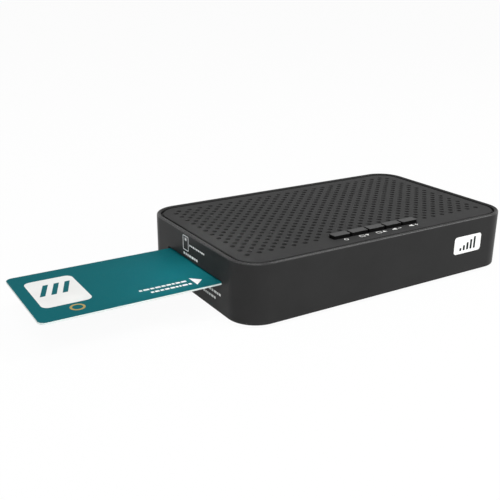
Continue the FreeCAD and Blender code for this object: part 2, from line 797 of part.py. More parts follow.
def make_card_reader():
    """The reader: open-floored base with a guide channel, stamped cover, contact leaves and detect switch."""
    channel_half = (dim.card_width / 2) + dim.reader_side_clearance
    side_half = channel_half + dim.reader_side
    middle = dim.card_middle_y
    body = new_body("reader_base_body")
    outline = new_sketch(body, "reader_outline", board_top_z)
    draw_rectangle(outline, (mouth_x, stop_x + dim.reader_stop_thickness),
                   (middle - side_half, middle + side_half))
    pad(body, "reader_pad", outline, channel_roof_z - board_top_z)
    channel = new_sketch(body, "channel_outline", channel_roof_z)
    draw_rectangle(channel, (mouth_x, stop_x), (middle - channel_half, middle + channel_half))
    pocket(body, "channel", channel, channel_roof_z - channel_floor_z)
    windows = new_sketch(body, "floor_windows", channel_floor_z)
    margin = dim.reader_window_margin
    draw_rectangle(windows, (mouth_x + margin, chip_home_x - dim.contact_window_half_length - 4.0),
                   (middle - channel_half + margin, middle + channel_half - margin))
    draw_rectangle(windows, around(chip_home_x, 2 * dim.contact_window_half_length),
                   around(chip_y, 2 * dim.contact_window_half_width))
    pocket(body, "windows", windows, channel_floor_z - board_top_z)
    notch = new_sketch(body, "switch_notch", channel_roof_z)
    switch_y = middle + channel_half - 8.0
    draw_rectangle(notch, (stop_x, stop_x + dim.reader_stop_thickness), around(switch_y, dim.reader_side * 2))
    pocket(body, "switch_seat", notch, channel_roof_z - channel_floor_z)
    node(body, "card_reader_base")

    roof = channel_roof_z, channel_roof_z + dim.reader_cover_thickness
    plate = block("reader_plate", (mouth_x + 0.5, stop_x + dim.reader_stop_thickness),
                  (middle - side_half, middle + side_half), roof)
    margin = dim.reader_window_margin + dim.reader_side
    third = (stop_x - mouth_x) / 3
    hole = [
        block(f"reader_hole_{i}", (mouth_x + third * i + margin / 2, mouth_x + third * (i + 1) - margin / 4),
              (middle - side_half + margin, middle + side_half - margin), roof)
        for i in range(3)
    ]
    node(cut("reader_cover", plate, hole), "card_reader_cover")

    leaf_z = card_low_z - 0.1 - dim.contact_leaf_thickness, card_low_z - 0.1
    leaves = []
    for side in FRONT_BACK:
        fixed = chip_home_x + side * dim.contact_window_half_length
        tip = fixed - side * dim.contact_leaf_length
        for i in range(4):
            leaf_y = chip_y + (i - 1.5) * dim.contact_pitch
            span = (fixed, tip) if side < 0 else (tip, fixed)
            leaves.append(block(f"leaf_{side}_{i}", span, around(leaf_y, dim.contact_leaf_width), leaf_z))
    node(group("contact_leaves", leaves), "card_reader_contacts")
    switch = block("detect_switch", (stop_x + 0.1, stop_x + dim.reader_stop_thickness),
                   around(switch_y, dim.reader_side * 2), (channel_floor_z, channel_roof_z))
    node(switch, "card_detect_switch")


def make_smart_card():
    """The identity-size card with rounded corners, and its chip module let into the underside."""
    lead_x = dim.card_inserted - half_length
    body = new_body("card_body")
    sketch = new_sketch(body, "card_outline", card_low_z)
    draw_rectangle(sketch, (lead_x - dim.card_length, lead_x), around(dim.card_middle_y, dim.card_width))
    pad(body, "card_pad", sketch, dim.card_thickness)
    finish_edges(body, "card_corners", dim.card_corner, upright, "PartDesign::Fillet")
    recess = new_sketch(body, "chip_outline", card_low_z)
    chip_x = around(lead_x - dim.chip_from_end, dim.chip_length)
    chip_span = around(chip_y, dim.chip_width)
    draw_rectangle(recess, chip_x, chip_span)
    pocket(body, "chip_recess", recess, dim.chip_depth, reverse=True)
    node(body, "smart_card")
    node(block("chip", chip_x, chip_span, (card_low_z, card_low_z + dim.chip_depth)), "smart_card_chip")


def make_key(label, place_in_row):
    """One key: a cap with soft edges above the cover, a flange that stops it under the cover, and a stem."""
    middle_x = dim.key_pitch * place_in_row
    body = new_body(f"{label}_body")
    cap = new_sketch(body, f"{label}_cap_outline", cover_under_z)
    draw_rectangle(cap, around(at(0), dim.key_width), around(key_y, dim.key_depth))
    pad(body, f"{label}_cap", cap, dim.cover_thickness + dim.key_proud)
    finish_edges(body, f"{label}_corners", dim.key_corner, upright)
    finish_edges(body, f"{label}_top", dim.key_edge_bevel, level_with(cover_top_z + dim.key_proud))
    flange = new_sketch(body, f"{label}_flange_outline", cover_under_z)
    draw_rectangle(flange, around(at(0), dim.key_flange_width), around(key_y, dim.key_flange_depth))
    pad(body, f"{label}_flange", flange, dim.key_flange_thickness, reverse=True)
    flange_z = cover_under_z - dim.key_flange_thickness
    stem = new_sketch(body, f"{label}_stem_outline", flange_z)
    draw_rectangle(stem, around(at(0), dim.key_stem), around(key_y, dim.key_stem))
    pad(body, f"{label}_stem", stem, flange_z - dim.plunger_top, reverse=True)
    bind(body, "Placement.Base.x", middle_x)
    node(body, label)
    foot_z = board_top_z + dim.plunger_seat
    plunger = faceted_rod(f"{label}_rod", middle_x, key_y, foot_z, dim.plunger_radius, dim.plunger_top - foot_z)
    node(plunger, label.replace("_key", "_plunger"))


def make_keys():
    """The row of five keys, their plungers and the five switch bodies on the board."""
    labels = ["standby_key", "channel_down_key", "channel_up_key", "volume_down_key", "volume_up_key"]
    switches = []
    for i, label in enumerate(labels):
        make_key(label, i - 2)
        x = dim.key_pitch * (i - 2)
        case = block(f"switch_case_{i}", around(x, dim.switch_side), around(key_y, dim.switch_side),
                     (board_top_z, board_top_z + dim.switch_height))
        well = faceted_rod(f"switch_well_{i}", x, key_y, board_top_z + dim.switch_well,
                   dim.plunger_radius + dim.switch_clearance, dim.switch_height)
        switches.append(cut(f"switch_{i}", case, [well]))
    node(group("switches", switches), "tact_switch_bodies")


def make_rear_panel():
    """The socket panel: an inner flange held between floor and cover, and a field that fills the opening."""
    flange = block("panel_flange_plate", (-dim.panel_half_length, dim.panel_half_length),
                   (panel_inner_y, panel_inner_y + dim.panel_flange), (floor_z, cover_under_z))
    field_half = dim.rear_opening_half_length - dim.panel_gap
    field = block("panel_field_plate", (-field_half, field_half), (panel_inner_y, panel_outer_y),
                  (dim.rear_opening_low + dim.panel_gap, dim.rear_opening_high - dim.panel_gap))
    depth = panel_inner_y, panel_outer_y
    gap = dim.cutout_gap
    through = dim.panel_flange + dim.panel_field
    cutouts = [
        socket_rod(name, x, panel_inner_y, z, radius, through)
        for name, x, z, radius in (
            ("lnb_cutout", dim.tuner_x, lnb_z, dim.lnb_radius + gap),
            ("audio_cutout", dim.audio_x, audio_z, dim.audio_collar_radius + gap),
            ("av_cutout", dim.av_x, board_top_z + dim.av_height / 2, dim.av_nose_radius + gap),
            ("power_cutout", dim.power_x, power_z, dim.power_bore + 1.0),
        )
    ]
    for name, x, width, height in (
        ("hdmi", dim.hdmi_x, dim.hdmi_width, dim.hdmi_height),
        ("usb", dim.usb_x, dim.usb_width, dim.usb_height),
        ("ethernet", dim.ethernet_x, dim.ethernet_width, dim.ethernet_height),
    ):
        cutouts.append(block(f"{name}_cutout", around(x, width + 2 * gap), depth,
                             (board_top_z - gap, board_top_z + height + gap)))
    node(cut("panel", fuse("panel_blank", [flange, field]), cutouts), "rear_panel")


def make_tuner():
    """The screened tuner can with its lid, and the threaded aerial socket with nut and insulator."""
    x = around(dim.tuner_x, dim.tuner_width)
    y = dim.tuner_rear - dim.tuner_depth, dim.tuner_rear
    wall = dim.tuner_wall
    top = board_top_z + dim.tuner_height
    can = block("can_outer", x, y, (board_top_z, top))
    inside = block("can_inside", (x[0] + wall, x[1] - wall), (y[0] + wall, y[1] - wall), (board_top_z, top))
    node(cut("can", can, [inside]), "tuner_can")
    node(block("can_lid", x, y, (top, top + dim.tuner_lid)), "tuner_lid")

    start_y, tip_y = dim.tuner_rear, dim.tuner_rear + dim.lnb_length
    thread_y = panel_outer_y + dim.lnb_nut_thickness + dim.lnb_relief
    bore_y = tip_y - dim.lnb_bore_depth
    root_radius = dim.lnb_radius - dim.lnb_relief_depth
    root = socket_rod("lnb_root", dim.tuner_x, start_y, lnb_z, root_radius, thread_y - start_y)
    barrel = turned("lnb_barrel", dim.tuner_x, lnb_z, [
        (thread_y, at(0)), (thread_y, dim.lnb_radius), (tip_y - dim.lnb_chamfer, dim.lnb_radius),
        (tip_y, dim.lnb_radius - dim.lnb_chamfer), (tip_y, at(0)),
    ])
    bore = socket_rod("lnb_bore_tool", dim.tuner_x, bore_y, lnb_z, dim.lnb_bore, dim.lnb_bore_depth)
    node(cut("lnb_bored", fuse("lnb_solid", [root, barrel]), [bore]), "lnb_connector")
    core_length = dim.lnb_bore_depth - dim.lnb_insulator_sink
    core = socket_rod("lnb_core", dim.tuner_x, bore_y, lnb_z, dim.lnb_bore - dim.thread_clearance, core_length)
    pin_hole = faceted_rod("lnb_pin_hole_tool", dim.tuner_x, bore_y + dim.lnb_insulator_sink, lnb_z,
                           dim.lnb_pin_hole, core_length, REARWARD)
    node(cut("lnb_core_bored", core, [pin_hole]), "lnb_insulator")
    hexagon = doc.addObject("Part::Prism", "nut_hexagon")
    hexagon.Polygon = 6
    bind(hexagon, "Circumradius", dim.lnb_nut_flats / math.sqrt(3))
    bind(hexagon, "Height", dim.lnb_nut_thickness)
    place(hexagon, dim.tuner_x, panel_outer_y, lnb_z, REARWARD)
    clearance = socket_rod("nut_bore", dim.tuner_x, panel_outer_y, lnb_z, root_radius + dim.lnb_nut_clearance,
                           dim.lnb_nut_thickness)
    node(cut("nut", hexagon, [clearance]), "lnb_connector_nut")


def make_audio_sockets():
    """The coaxial digital audio socket in three pieces, and the small audio and video jack."""
    behind = panel_inner_y - 0.2
    body = block("audio_block", around(dim.audio_x, dim.audio_body_width), (behind - dim.audio_body_depth, behind),
                 (board_top_z, board_top_z + dim.audio_body_height))
    collar_end = panel_outer_y + dim.audio_collar_length
    collar = socket_rod("audio_collar", dim.audio_x, behind - 1.0, audio_z, dim.audio_collar_radius,
                        collar_end - behind + 1.0)
    node(fuse("audio_body", [body, collar]), "digital_audio_body")
    length = dim.audio_shell_length
    shell = rod("audio_shell_rod", dim.audio_x, collar_end, audio_z, dim.audio_shell_radius, length, REARWARD)
    mouth = socket_rod("audio_mouth", dim.audio_x, collar_end, audio_z, dim.audio_shell_bore, length)
    node(cut("audio_shell_bored", shell, [mouth]), "digital_audio_shell")
    core = socket_rod("audio_core", dim.audio_x, collar_end, audio_z, dim.audio_shell_bore - dim.thread_clearance,
                      length - dim.audio_insulator_sink)
    pin_hole = socket_rod("audio_pin_hole_tool", dim.audio_x, collar_end + dim.audio_insulator_sink, audio_z,
                          dim.audio_pin_hole, length)
    node(cut("audio_core_bored", core, [pin_hole]), "digital_audio_insulator")

    jack_z = board_top_z + dim.av_height / 2
    jack = block("av_block", around(dim.av_x, dim.av_width), (behind - dim.av_depth, behind),
                 (board_top_z, board_top_z + dim.av_height))
    nose = socket_rod("av_nose", dim.av_x, behind - 1.0, jack_z, dim.av_nose_radius, socket_face_y - behind + 1.0)
    bore = socket_rod("av_bore_tool", dim.av_x, socket_face_y, jack_z, dim.av_bore, dim.av_bore_depth, FORWARD)
    node(cut("av_jack_bored", fuse("av_jack_solid", [jack, nose]), [bore]), "av_jack")


def make_hdmi():
    """The high-definition socket: a folded shell with two bevelled lower corners, and its contact tongue."""
    body = new_body("hdmi_body")
    for name, inset in (("shell", dim.hdmi_wall * 0.0), ("port", dim.hdmi_wall)):
        sketch = new_sketch(body, f"hdmi_{name}_outline", -socket_face_y, "XZ_Plane")
        left, right = (dim.hdmi_x - dim.hdmi_width / 2 + inset, dim.hdmi_x + dim.hdmi_width / 2 - inset)
        low, high = board_top_z + inset, board_top_z + dim.hdmi_height - inset
        bevel = dim.hdmi_bevel
        draw_outline(sketch, [
            (left, high), (right, high), (right, low + bevel), (right - bevel, low), (left + bevel, low),
            (left, low + bevel),
        ])
        if name == "shell":
            pad(body, "hdmi_pad", sketch, dim.hdmi_depth)
        else:
            pocket(body, "hdmi_pocket", sketch, dim.hdmi_depth - dim.hdmi_wall, reverse=True)
    node(body, "hdmi_shell")
    back = socket_face_y - dim.hdmi_depth + dim.hdmi_wall
    tongue_z = board_top_z + dim.hdmi_height / 2 + 0.3
    node(block("hdmi_blade", around(dim.hdmi_x, dim.hdmi_tongue_width), (back, back + dim.hdmi_tongue_length),
               around(tongue_z, dim.hdmi_tongue_thickness)), "hdmi_tongue")


def make_usb():
    """The USB socket: a folded shell and the tongue in the upper half of its mouth."""
    wall = dim.usb_wall
    x = around(dim.usb_x, dim.usb_width)
    y = socket_face_y - dim.usb_depth, socket_face_y
    z = board_top_z, board_top_z + dim.usb_height
    shell = block("usb_outer", x, y, z)
    port = block("usb_port", (x[0] + wall, x[1] - wall), (y[0] + wall, y[1]), (z[0] + wall, z[1] - wall))
    node(cut("usb_folded", shell, [port]), "usb_shell")
    tongue_high = z[1] - wall - 0.9
    node(block("usb_blade", around(dim.usb_x, dim.usb_tongue_width),
               (y[0] + wall, y[0] + wall + dim.usb_tongue_length),
               (tongue_high - dim.usb_tongue_thickness, tongue_high)), "usb_tongue")


def make_ethernet():
    """The Ethernet socket: a moulded block with the plug's port and latch slot, and eight contacts."""
    x = around(dim.ethernet_x, dim.ethernet_width)
    y = socket_face_y - dim.ethernet_depth, socket_face_y
    port_y = socket_face_y - dim.ethernet_port_depth, socket_face_y
    port_low = board_top_z + dim.ethernet_port_low
    port_high = port_low + dim.ethernet_port_height
    body = block("ethernet_block", x, y, (board_top_z, board_top_z + dim.ethernet_height))
    port = block("ethernet_port", around(dim.ethernet_x, dim.ethernet_port_width), port_y, (port_low, port_high))
    latch = block("ethernet_latch", around(dim.ethernet_x, dim.ethernet_latch_width), port_y,
                  (port_low - dim.ethernet_latch_height, port_low))
    node(cut("ethernet_moulding", body, [fuse("ethernet_mouth", [port, latch])]), "ethernet_jack")
    contacts = []
    for i in range(8):
        contact_x = dim.ethernet_x + (i - 3.5) * dim.ethernet_contact_pitch
        contacts.append(block(f"ethernet_contact_{i}", around(contact_x, dim.ethernet_contact_width),
                              (port_y[0], port_y[0] + 9.0), (port_high - 0.9, port_high)))
    node(group("ethernet_combs", contacts), "ethernet_contacts")


def make_power_socket():
    """The barrel power socket: a moulded block with a round port, and the centre pin in it."""
    y = (socket_face_y - dim.power_depth,
         socket_face_y - dim.socket_stand - dim.panel_field - dim.panel_flange - 0.2)
    body = block("power_block", around(dim.power_x, dim.power_width), y,
                 (board_top_z, board_top_z + dim.power_height))
    collar = socket_rod("power_collar", dim.power_x, y[1] - 1.0, power_z, dim.power_bore + 0.8,
                        socket_face_y - y[1] + 1.0)
    port = socket_rod("power_port", dim.power_x, socket_face_y, power_z, dim.power_bore, dim.power_bore_depth,
                      FORWARD)
    node(cut("power_moulding", fuse("power_solid", [body, collar]), [port]), "power_socket")
    pin = faceted_rod("power_pin_rod", dim.power_x, socket_face_y - dim.power_bore_depth, power_z,
                      dim.power_pin_radius, dim.power_bore_depth - dim.power_pin_sink, REARWARD)
    node(pin, "power_socket_pin")


def make_board_parts():
    """What is soldered on the board: processor, heatsink, memory, capacitors, inductors and crystal."""
    processor_z = board_top_z, board_top_z + dim.processor_height
    node(block("processor_block", around(dim.processor_x, dim.processor_side),
               around(dim.processor_y, dim.processor_side), processor_z), "processor")
    make_heatsink(processor_z[1])
    memory = [
        block(f"memory_{i}", around(at(x), dim.memory_width), around(at(y), dim.memory_length),
              (board_top_z, board_top_z + dim.memory_height))
        for i, (x, y) in enumerate(((25.0, 2.0), (4.0, 24.0)))
    ]
    node(group("memory_group", memory), "memory_chips")
    spots = ((-48.0, -41.0), (-36.0, -41.0), (32.0, -20.0), (56.0, 8.0), (46.0, 8.0), (66.0, 12.0))
    capacitors = [
        faceted_rod("capacitor", at(x), at(y), board_top_z, dim.capacitor_radius, dim.capacitor_height)
        for x, y in spots
    ]
    node(group("capacitor_group", capacitors), "capacitors")
    inductors = [
        block(f"inductor_{i}", around(at(x), dim.inductor_side), around(at(y), dim.inductor_side),
              (board_top_z, board_top_z + dim.inductor_height))
        for i, (x, y) in enumerate(((44.0, -16.0), (56.0, -16.0)))
    ]
    node(group("inductor_group", inductors), "inductors")
    node(block("crystal_can", around(at(30.0), dim.crystal_length), around(at(18.0), dim.crystal_width),
               (board_top_z, board_top_z + dim.crystal_height)), "crystal")


def make_heatsink(seat_z):
    """An extruded aluminium heatsink: a base plate and a row of fins, the last fin a pattern of the first."""
    body = new_body("heatsink_body")
    plate = new_sketch(body, "heatsink_outline", seat_z)
    across = around(dim.processor_x, dim.heatsink_side)
    along = around(dim.processor_y, dim.heatsink_side)
    draw_rectangle(plate, across, along)
    pad(body, "heatsink_plate", plate, dim.heatsink_base)
    fin = new_sketch(body, "fin_outline", seat_z + dim.heatsink_base)
    draw_rectangle(fin, (across[0], across[0] + dim.heatsink_fin), along)
    first = pad(body, "fin", fin, dim.heatsink_height - dim.heatsink_base)
    pattern = body.newObject("PartDesign::LinearPattern", "fins")
    pattern.Originals = [first]
    pattern.Direction = (fin, ["H_Axis"])
    bind(pattern, "Length", dim.heatsink_side - dim.heatsink_fin)
    bind(pattern, "Occurrences", dim.heatsink_fins)
    body.Tip = pattern
    node(body, "heatsink")


def make_front_parts():
    """The infra-red receiver and the status lamp, which stand behind the front wall."""
    y = dim.wall + 2.4 - half_depth
    lens_z = board_top_z + dim.infrared_height / 2
    body = block("infrared_block", around(dim.infrared_x, dim.infrared_width), (y, y + dim.infrared_depth),
                 (board_top_z, board_top_z + dim.infrared_height))
    lens = socket_rod("infrared_dome", dim.infrared_x, y, lens_z, dim.infrared_lens, dim.infrared_proud, FORWARD)
    node(fuse("infrared", [body, lens]), "infrared_receiver")
    lamp = faceted_rod("lamp", dim.lamp_x, y + dim.lamp_radius, board_top_z, dim.lamp_radius, dim.lamp_height)
    node(lamp, "status_lamp")


def check_document():
    """Stops the build where an object failed or a sub-part's shape is missing or broken."""
    doc.recompute()
    failed = [thing.Name for thing in doc.Objects if {"Invalid", "Error"} & set(thing.State)]
    if failed:
        raise RuntimeError(f"failed objects: {failed}")
    for thing in nodes:
        if thing.Shape.isNull() or not thing.Shape.isValid() or not thing.Shape.Solids:
            raise RuntimeError(f"{thing.Label} has no valid solid")


def export_nodes():
    """Writes each sub-part to its own file."""
    os.makedirs("parts", exist_ok=True)
    for thing in nodes:
        thing.Shape.exportStep(f"parts/{thing.Label}.step")
        print(f"{thing.Label}: {len(thing.Shape.Solids)} solid(s), {thing.Shape.Volume:.1f} mm3")


make_lower_case()
make_top_cover()
make_feet_and_screws()
make_main_board()
make_card_reader()
make_smart_card()
make_keys()
make_rear_panel()
make_tuner()
make_audio_sockets()
make_hdmi()
make_usb()
make_ethernet()
make_power_socket()
make_board_parts()
make_front_parts()
check_document()
export_nodes()
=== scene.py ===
"""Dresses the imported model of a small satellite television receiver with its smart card."""

import logging
import math
import random
from collections.abc import Callable, Iterable
from dataclasses import dataclass, field
from enum import Enum

import bmesh
import bpy
from mathutils import Matrix, Vector


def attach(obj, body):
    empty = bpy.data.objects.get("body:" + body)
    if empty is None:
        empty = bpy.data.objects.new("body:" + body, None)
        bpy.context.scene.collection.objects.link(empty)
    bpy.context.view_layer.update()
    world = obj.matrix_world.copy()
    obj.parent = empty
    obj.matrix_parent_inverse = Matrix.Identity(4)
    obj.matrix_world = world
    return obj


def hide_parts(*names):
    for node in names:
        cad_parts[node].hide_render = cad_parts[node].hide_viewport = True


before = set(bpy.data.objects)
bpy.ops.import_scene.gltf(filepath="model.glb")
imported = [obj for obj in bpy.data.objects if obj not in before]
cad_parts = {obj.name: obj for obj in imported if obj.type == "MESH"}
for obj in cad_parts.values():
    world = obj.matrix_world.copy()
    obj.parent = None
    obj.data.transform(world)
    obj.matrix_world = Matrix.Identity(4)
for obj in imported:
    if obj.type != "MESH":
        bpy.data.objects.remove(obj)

log = logging.getLogger("receiver")

MM = 0.001
Point = tuple[float, float]
Point3 = tuple[float, float, float]
Ring = list[Point3]
Step = tuple[Point, float, float]
Thing = bpy.types.Object
Sockets = dict[str, bpy.types.NodeSocket]
Row = tuple[str, str, str | dict[str, object], object]
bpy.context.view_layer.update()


# ---------------------------------------------------------------- colours and nodes


def linear(shade: str) -> tuple[float, float, float, float]:
    """Turns an sRGB colour into the one that light works with.

    Args:
        shade: Six hex digits after a hash.

    Returns:
        Linear red, green and blue, and a full alpha.
    """
    parts = [int(shade[place : place + 2], 16) / 255 for place in (1, 3, 5)]
    red, green, blue = (
        part / 12.92 if part <= 0.04045 else ((part + 0.055) / 1.055) ** 2.4 for part in parts
    )
    return red, green, blue, 1.0


def add_node(
    tree: bpy.types.NodeTree,
    kind: str,
    inputs: dict[int | str, object] | None = None,
    **settings: object,
) -> bpy.types.Node:
    """Adds a node with its settings and links.

    Args:
        tree: Node tree that takes the node.
        kind: Blender's type name of the node.
        inputs: Value or socket for each input, by its name or number. A list of
            sockets all go into the one input.
        settings: The node's own properties.

    Returns:
        The new node.
    """
    node = tree.nodes.new(kind)
    for name, value in settings.items():
        setattr(node, name, value)
    for key, value in (inputs or {}).items():
        for one in value if isinstance(value, list) else [value]:
            if isinstance(one, bpy.types.NodeSocket):
                tree.links.new(one, node.inputs[key])
            else:
                node.inputs[key].default_value = one
    return node


def wire(tree: bpy.types.NodeTree, known: Sockets, rows: Iterable[Row]) -> Sockets:
    """Adds nodes in rows, each fed by name from those before it.

    Args:
        tree: Node tree that takes them.
        known: Sockets that the rows may name.
        rows: Name, Blender's type, settings and inputs of each node. Settings
            given as a word are its operation, and a word among the inputs names
            a socket: a node's first output, or "node.Output".

    Returns:
        The sockets by name, with the new ones.
    """
    known = dict(known)
    for name, kind, settings, inputs in rows:
        given = inputs if isinstance(inputs, dict) else dict(enumerate(inputs))
        fed = {}
        for key, value in given.items():
            if isinstance(value, list):
                fed[key] = [known[one] for one in value]
            else:
                fed[key] = known[value] if isinstance(value, str) else value
        chosen = {"operation": settings} if isinstance(settings, str) else settings
        node = add_node(tree, kind, fed, **chosen)
        outputs = [out for out in node.outputs if not out.is_unavailable]
        known[name] = outputs[0]
        known.update({f"{name}.{out.name}": out for out in outputs})
    return known


# ---------------------------------------------------------------- outlines, in mm


def rounded(
    half: Point,
    radius: float,
    centre: Point = (0.0, 0.0),
    steps: int = 20,
    inset: float = 0.0,
) -> list[Point]:
    """Draws a rectangle with rounded corners, anticlockwise.

    Args:
        half: Half of its width and depth.
        radius: Corner radius.
        centre: Middle of the rectangle.
        steps: Straight runs in each corner.
        inset: How far the outline is drawn in all round.

    Returns:
        The outline's points.
    """
    wide, deep, radius = half[0] - inset, half[1] - inset, radius - inset
    points = []
    for quarter, (side_x, side_y) in enumerate(((1, 1), (-1, 1), (-1, -1), (1, -1))):
        x, y = centre[0] + side_x * (wide - radius), centre[1] + side_y * (deep - radius)
        for step in range(steps + 1):
            angle = math.pi / 2 * (quarter + step / steps)
            points.append((x + radius * math.cos(angle), y + radius * math.sin(angle)))
    return points


def arc(centre: Point, radius: float, start: float, end: float, steps: int = 4) -> list[Point]:
    """Draws part of a circle.

    Args:
        centre: Middle of the circle.
        radius: Its radius.
        start: First angle, degrees.
        end: Last angle, degrees.
        steps: Straight runs along it.

    Returns:
        The points, both ends among them.
    """
    angles = [math.radians(start + (end - start) * step / steps) for step in range(steps + 1)]
    return [(centre[0] + radius * math.cos(a), centre[1] + radius * math.sin(a)) for a in angles]


def bevelled(half: Point, bevel: float, centre: Point) -> list[Point]:
    """Draws a rectangle with its two lower corners cut off.

    Args:
        half: Half of its width and height.
        bevel: What the corners lose along each side.
        centre: Middle of the rectangle.

    Returns:
        The outline's points.
    """
    (x, z), (wide, high) = centre, half
    low = [(x - wide + bevel, z - high), (x + wide - bevel, z - high)]
    sides = [(x + wide, z - high + bevel), (x + wide, z + high), (x - wide, z + high)]
    return [*low, *sides, (x - wide, z - high + bevel)]


def at_height(outline: Iterable[Point], height: float) -> Ring:
    """Lays an outline of X and Y flat at a height."""
    return [(x, y, height) for x, y in outline]


def at_depth(outline: Iterable[Point], depth: float) -> Ring:
    """Stands an outline of X and Z up at a depth."""
    return [(x, depth, z) for x, z in outline]


# ---------------------------------------------------------------- solids, in mm


def place_new(name: str, data: bpy.types.ID) -> Thing:
    """Puts new data into the scene as an object.

    Args:
        name: Name of the object.
        data: Its mesh, light or camera.

    Returns:
        The object.
    """
    thing = bpy.data.objects.new(name, data)
    bpy.context.scene.collection.objects.link(thing)
    return thing


def as_object(name: str, mesh: bmesh.types.BMesh) -> Thing:
    """Turns a mesh in the making into an object of the scene.

    Args:
        name: Name of the object.
        mesh: The mesh, which is freed.

    Returns:
        The object.
    """
    data = bpy.data.meshes.new(name)
    mesh.to_mesh(data)
    mesh.free()
    return place_new(name, data)


def join_rings(mesh: bmesh.types.BMesh, rows: list[list[bmesh.types.BMVert]]) -> None:
    """Adds the walls between rings of equal length.

    Args:
        mesh: Mesh that takes them.
        rows: The points of each ring, one ring after another.
    """
    for low, high in zip(rows, rows[1:]):
        for place in range(len(low)):
            after = (place + 1) % len(low)
            mesh.faces.new((low[place], low[after], high[after], high[place]))


def raise_solid(name: str, rings: list[Ring], closed: bool = False) -> Thing:
    """Skins a row of rings of equal length into a closed solid.

    Args:
        name: Name of the object.
        rings: The rings, one after another along the skin.
        closed: Whether the last ring joins the first, which leaves no ends to cap.

    Returns:
        The solid.
    """
    mesh = bmesh.new()
    rows = [[mesh.verts.new(point) for point in ring] for ring in rings]
    if not closed:
        mesh.faces.new(rows[0])
        mesh.faces.new(rows[-1])
    join_rings(mesh, rows + rows[:1] * closed)
    bmesh.ops.remove_doubles(mesh, verts=mesh.verts, dist=1e-5)
    bmesh.ops.recalc_face_normals(mesh, faces=mesh.faces)
    return as_object(name, mesh)


def slab(name: str, outline: list[Point], low: float, high: float) -> Thing:
    """Raises an outline between two heights."""
    return raise_solid(name, [at_height(outline, low), at_height(outline, high)])


def push(name: str, outline: list[Point], near: float, far: float) -> Thing:
    """Pushes an outline of X and Z from one depth to another."""
    return raise_solid(name, [at_depth(outline, near), at_depth(outline, far)])


def block(name: str, low: Point3, high: Point3) -> Thing:
    """Makes a plain block between two corners, as a tool or a filler of a form."""
    outline = [(low[0], low[1]), (high[0], low[1]), (high[0], high[1]), (low[0], high[1])]
    return slab(name, outline, low[2], high[2])


def stack(name: str, centre: Point, foot: float, steps: Iterable[Step]) -> Thing:
    """Stacks rounded rectangles into one solid.

    Args:
        name: Name of the object.
        centre: Its middle.
        foot: Height that the steps count from.
        steps: The half size, corner radius and height of each.

    Returns:
        The solid.
    """
    return raise_solid(
        name,
        [at_height(rounded(half, radius, centre, 5), foot + high) for half, radius, high in steps],
    )


def lathe(
    name: str,
    profile: list[Point],
    centre: Point = (0.0, 0.0),
    along_y: bool = False,
    sides: int = 48,
    closed: bool = False,
) -> Thing:
    """Turns a profile about an upright or a lengthwise axis.

    Args:
        name: Name of the object.
        profile: Radius and place along the axis of each point.
        centre: The axis' X and Y, or its X and Z where it lies along Y.
        along_y: Whether the axis lies along Y.
        sides: Sides of each ring.
        closed: Whether the profile runs round to its first point, as a tube's does.

    Returns:
        The solid.
    """
    angles = [2 * math.pi * side / sides for side in range(sides)]
    around = [(math.cos(angle), math.sin(angle)) for angle in angles]
    lay = at_depth if along_y else at_height
    rings = [
        lay([(centre[0] + radius * c, centre[1] + radius * s) for c, s in around], place)
        for radius, place in profile
    ]
    return raise_solid(name, rings, closed)


def gather(name: str, things: list[Thing]) -> Thing:
    """Puts several solids into one object.

    Args:
        name: Name of the object.
        things: The solids, which go.

    Returns:
        The object.
    """
    mesh = bmesh.new()
    for thing in things:
        mesh.from_mesh(thing.data)
        bpy.data.objects.remove(thing)
    return as_object(name, mesh)


def settle(thing: Thing) -> Thing:
    """Turns a thing and its live modifiers into a plain mesh.

    Args:
        thing: The thing, whose modifiers go.

    Returns:
        The same thing.
    """
    bpy.context.view_layer.update()
    seen = thing.evaluated_get(bpy.context.evaluated_depsgraph_get())
    plain = bpy.data.meshes.new_from_object(seen)
    thing.modifiers.clear()
    thing.data = plain
    return thing


def carve(body: Thing, tool: Thing, way: str = "DIFFERENCE") -> Thing:
    """Cuts a tool from a body, or joins the two into one solid.

    Args:
        body: The solid that stays.
        tool: The solid that goes.
        way: DIFFERENCE, UNION or INTERSECT.

    Returns:
        The body.
    """
    step = body.modifiers.new("carve", "BOOLEAN")
    step.operation, step.solver, step.object, step.use_self = way, "EXACT", tool, True
    settle(body)
    bpy.data.objects.remove(tool)
    return body


def run_tree(thing: Thing, tree: bpy.types.NodeTree, inputs: dict[str, object]) -> Thing:
    """Runs a geometry tree on a thing and keeps the result as a plain mesh.

    Args:
        thing: Object that the tree starts from.
        tree: Geometry node tree.
        inputs: Value of each named input.

    Returns:
        The same object with its new mesh.
    """
    step = thing.modifiers.new(tree.name, "NODES")
    step.node_group = tree
    for item in tree.interface.items_tree:
        if item.in_out == "INPUT" and item.name in inputs:
            step[item.identifier] = inputs[item.name]
    return settle(thing)


def two_tone(
    thing: Thing, first: "Finish", second: "Finish", test: Callable[[bpy.types.MeshPolygon], bool]
) -> Thing:
    """Gives a thing one finish, and a second one to the faces that pass a test.

    Args:
        thing: The thing.
        first: Finish of most faces.
        second: Finish of the others.
        test: Tells whether a face takes the second finish.

    Returns:
        The same thing.
    """
    thing.data.materials.clear()
    for finish in (first, second):
        thing.data.materials.append(finish.material())
    for face in thing.data.polygons:
        face.material_index = int(test(face))
    return thing


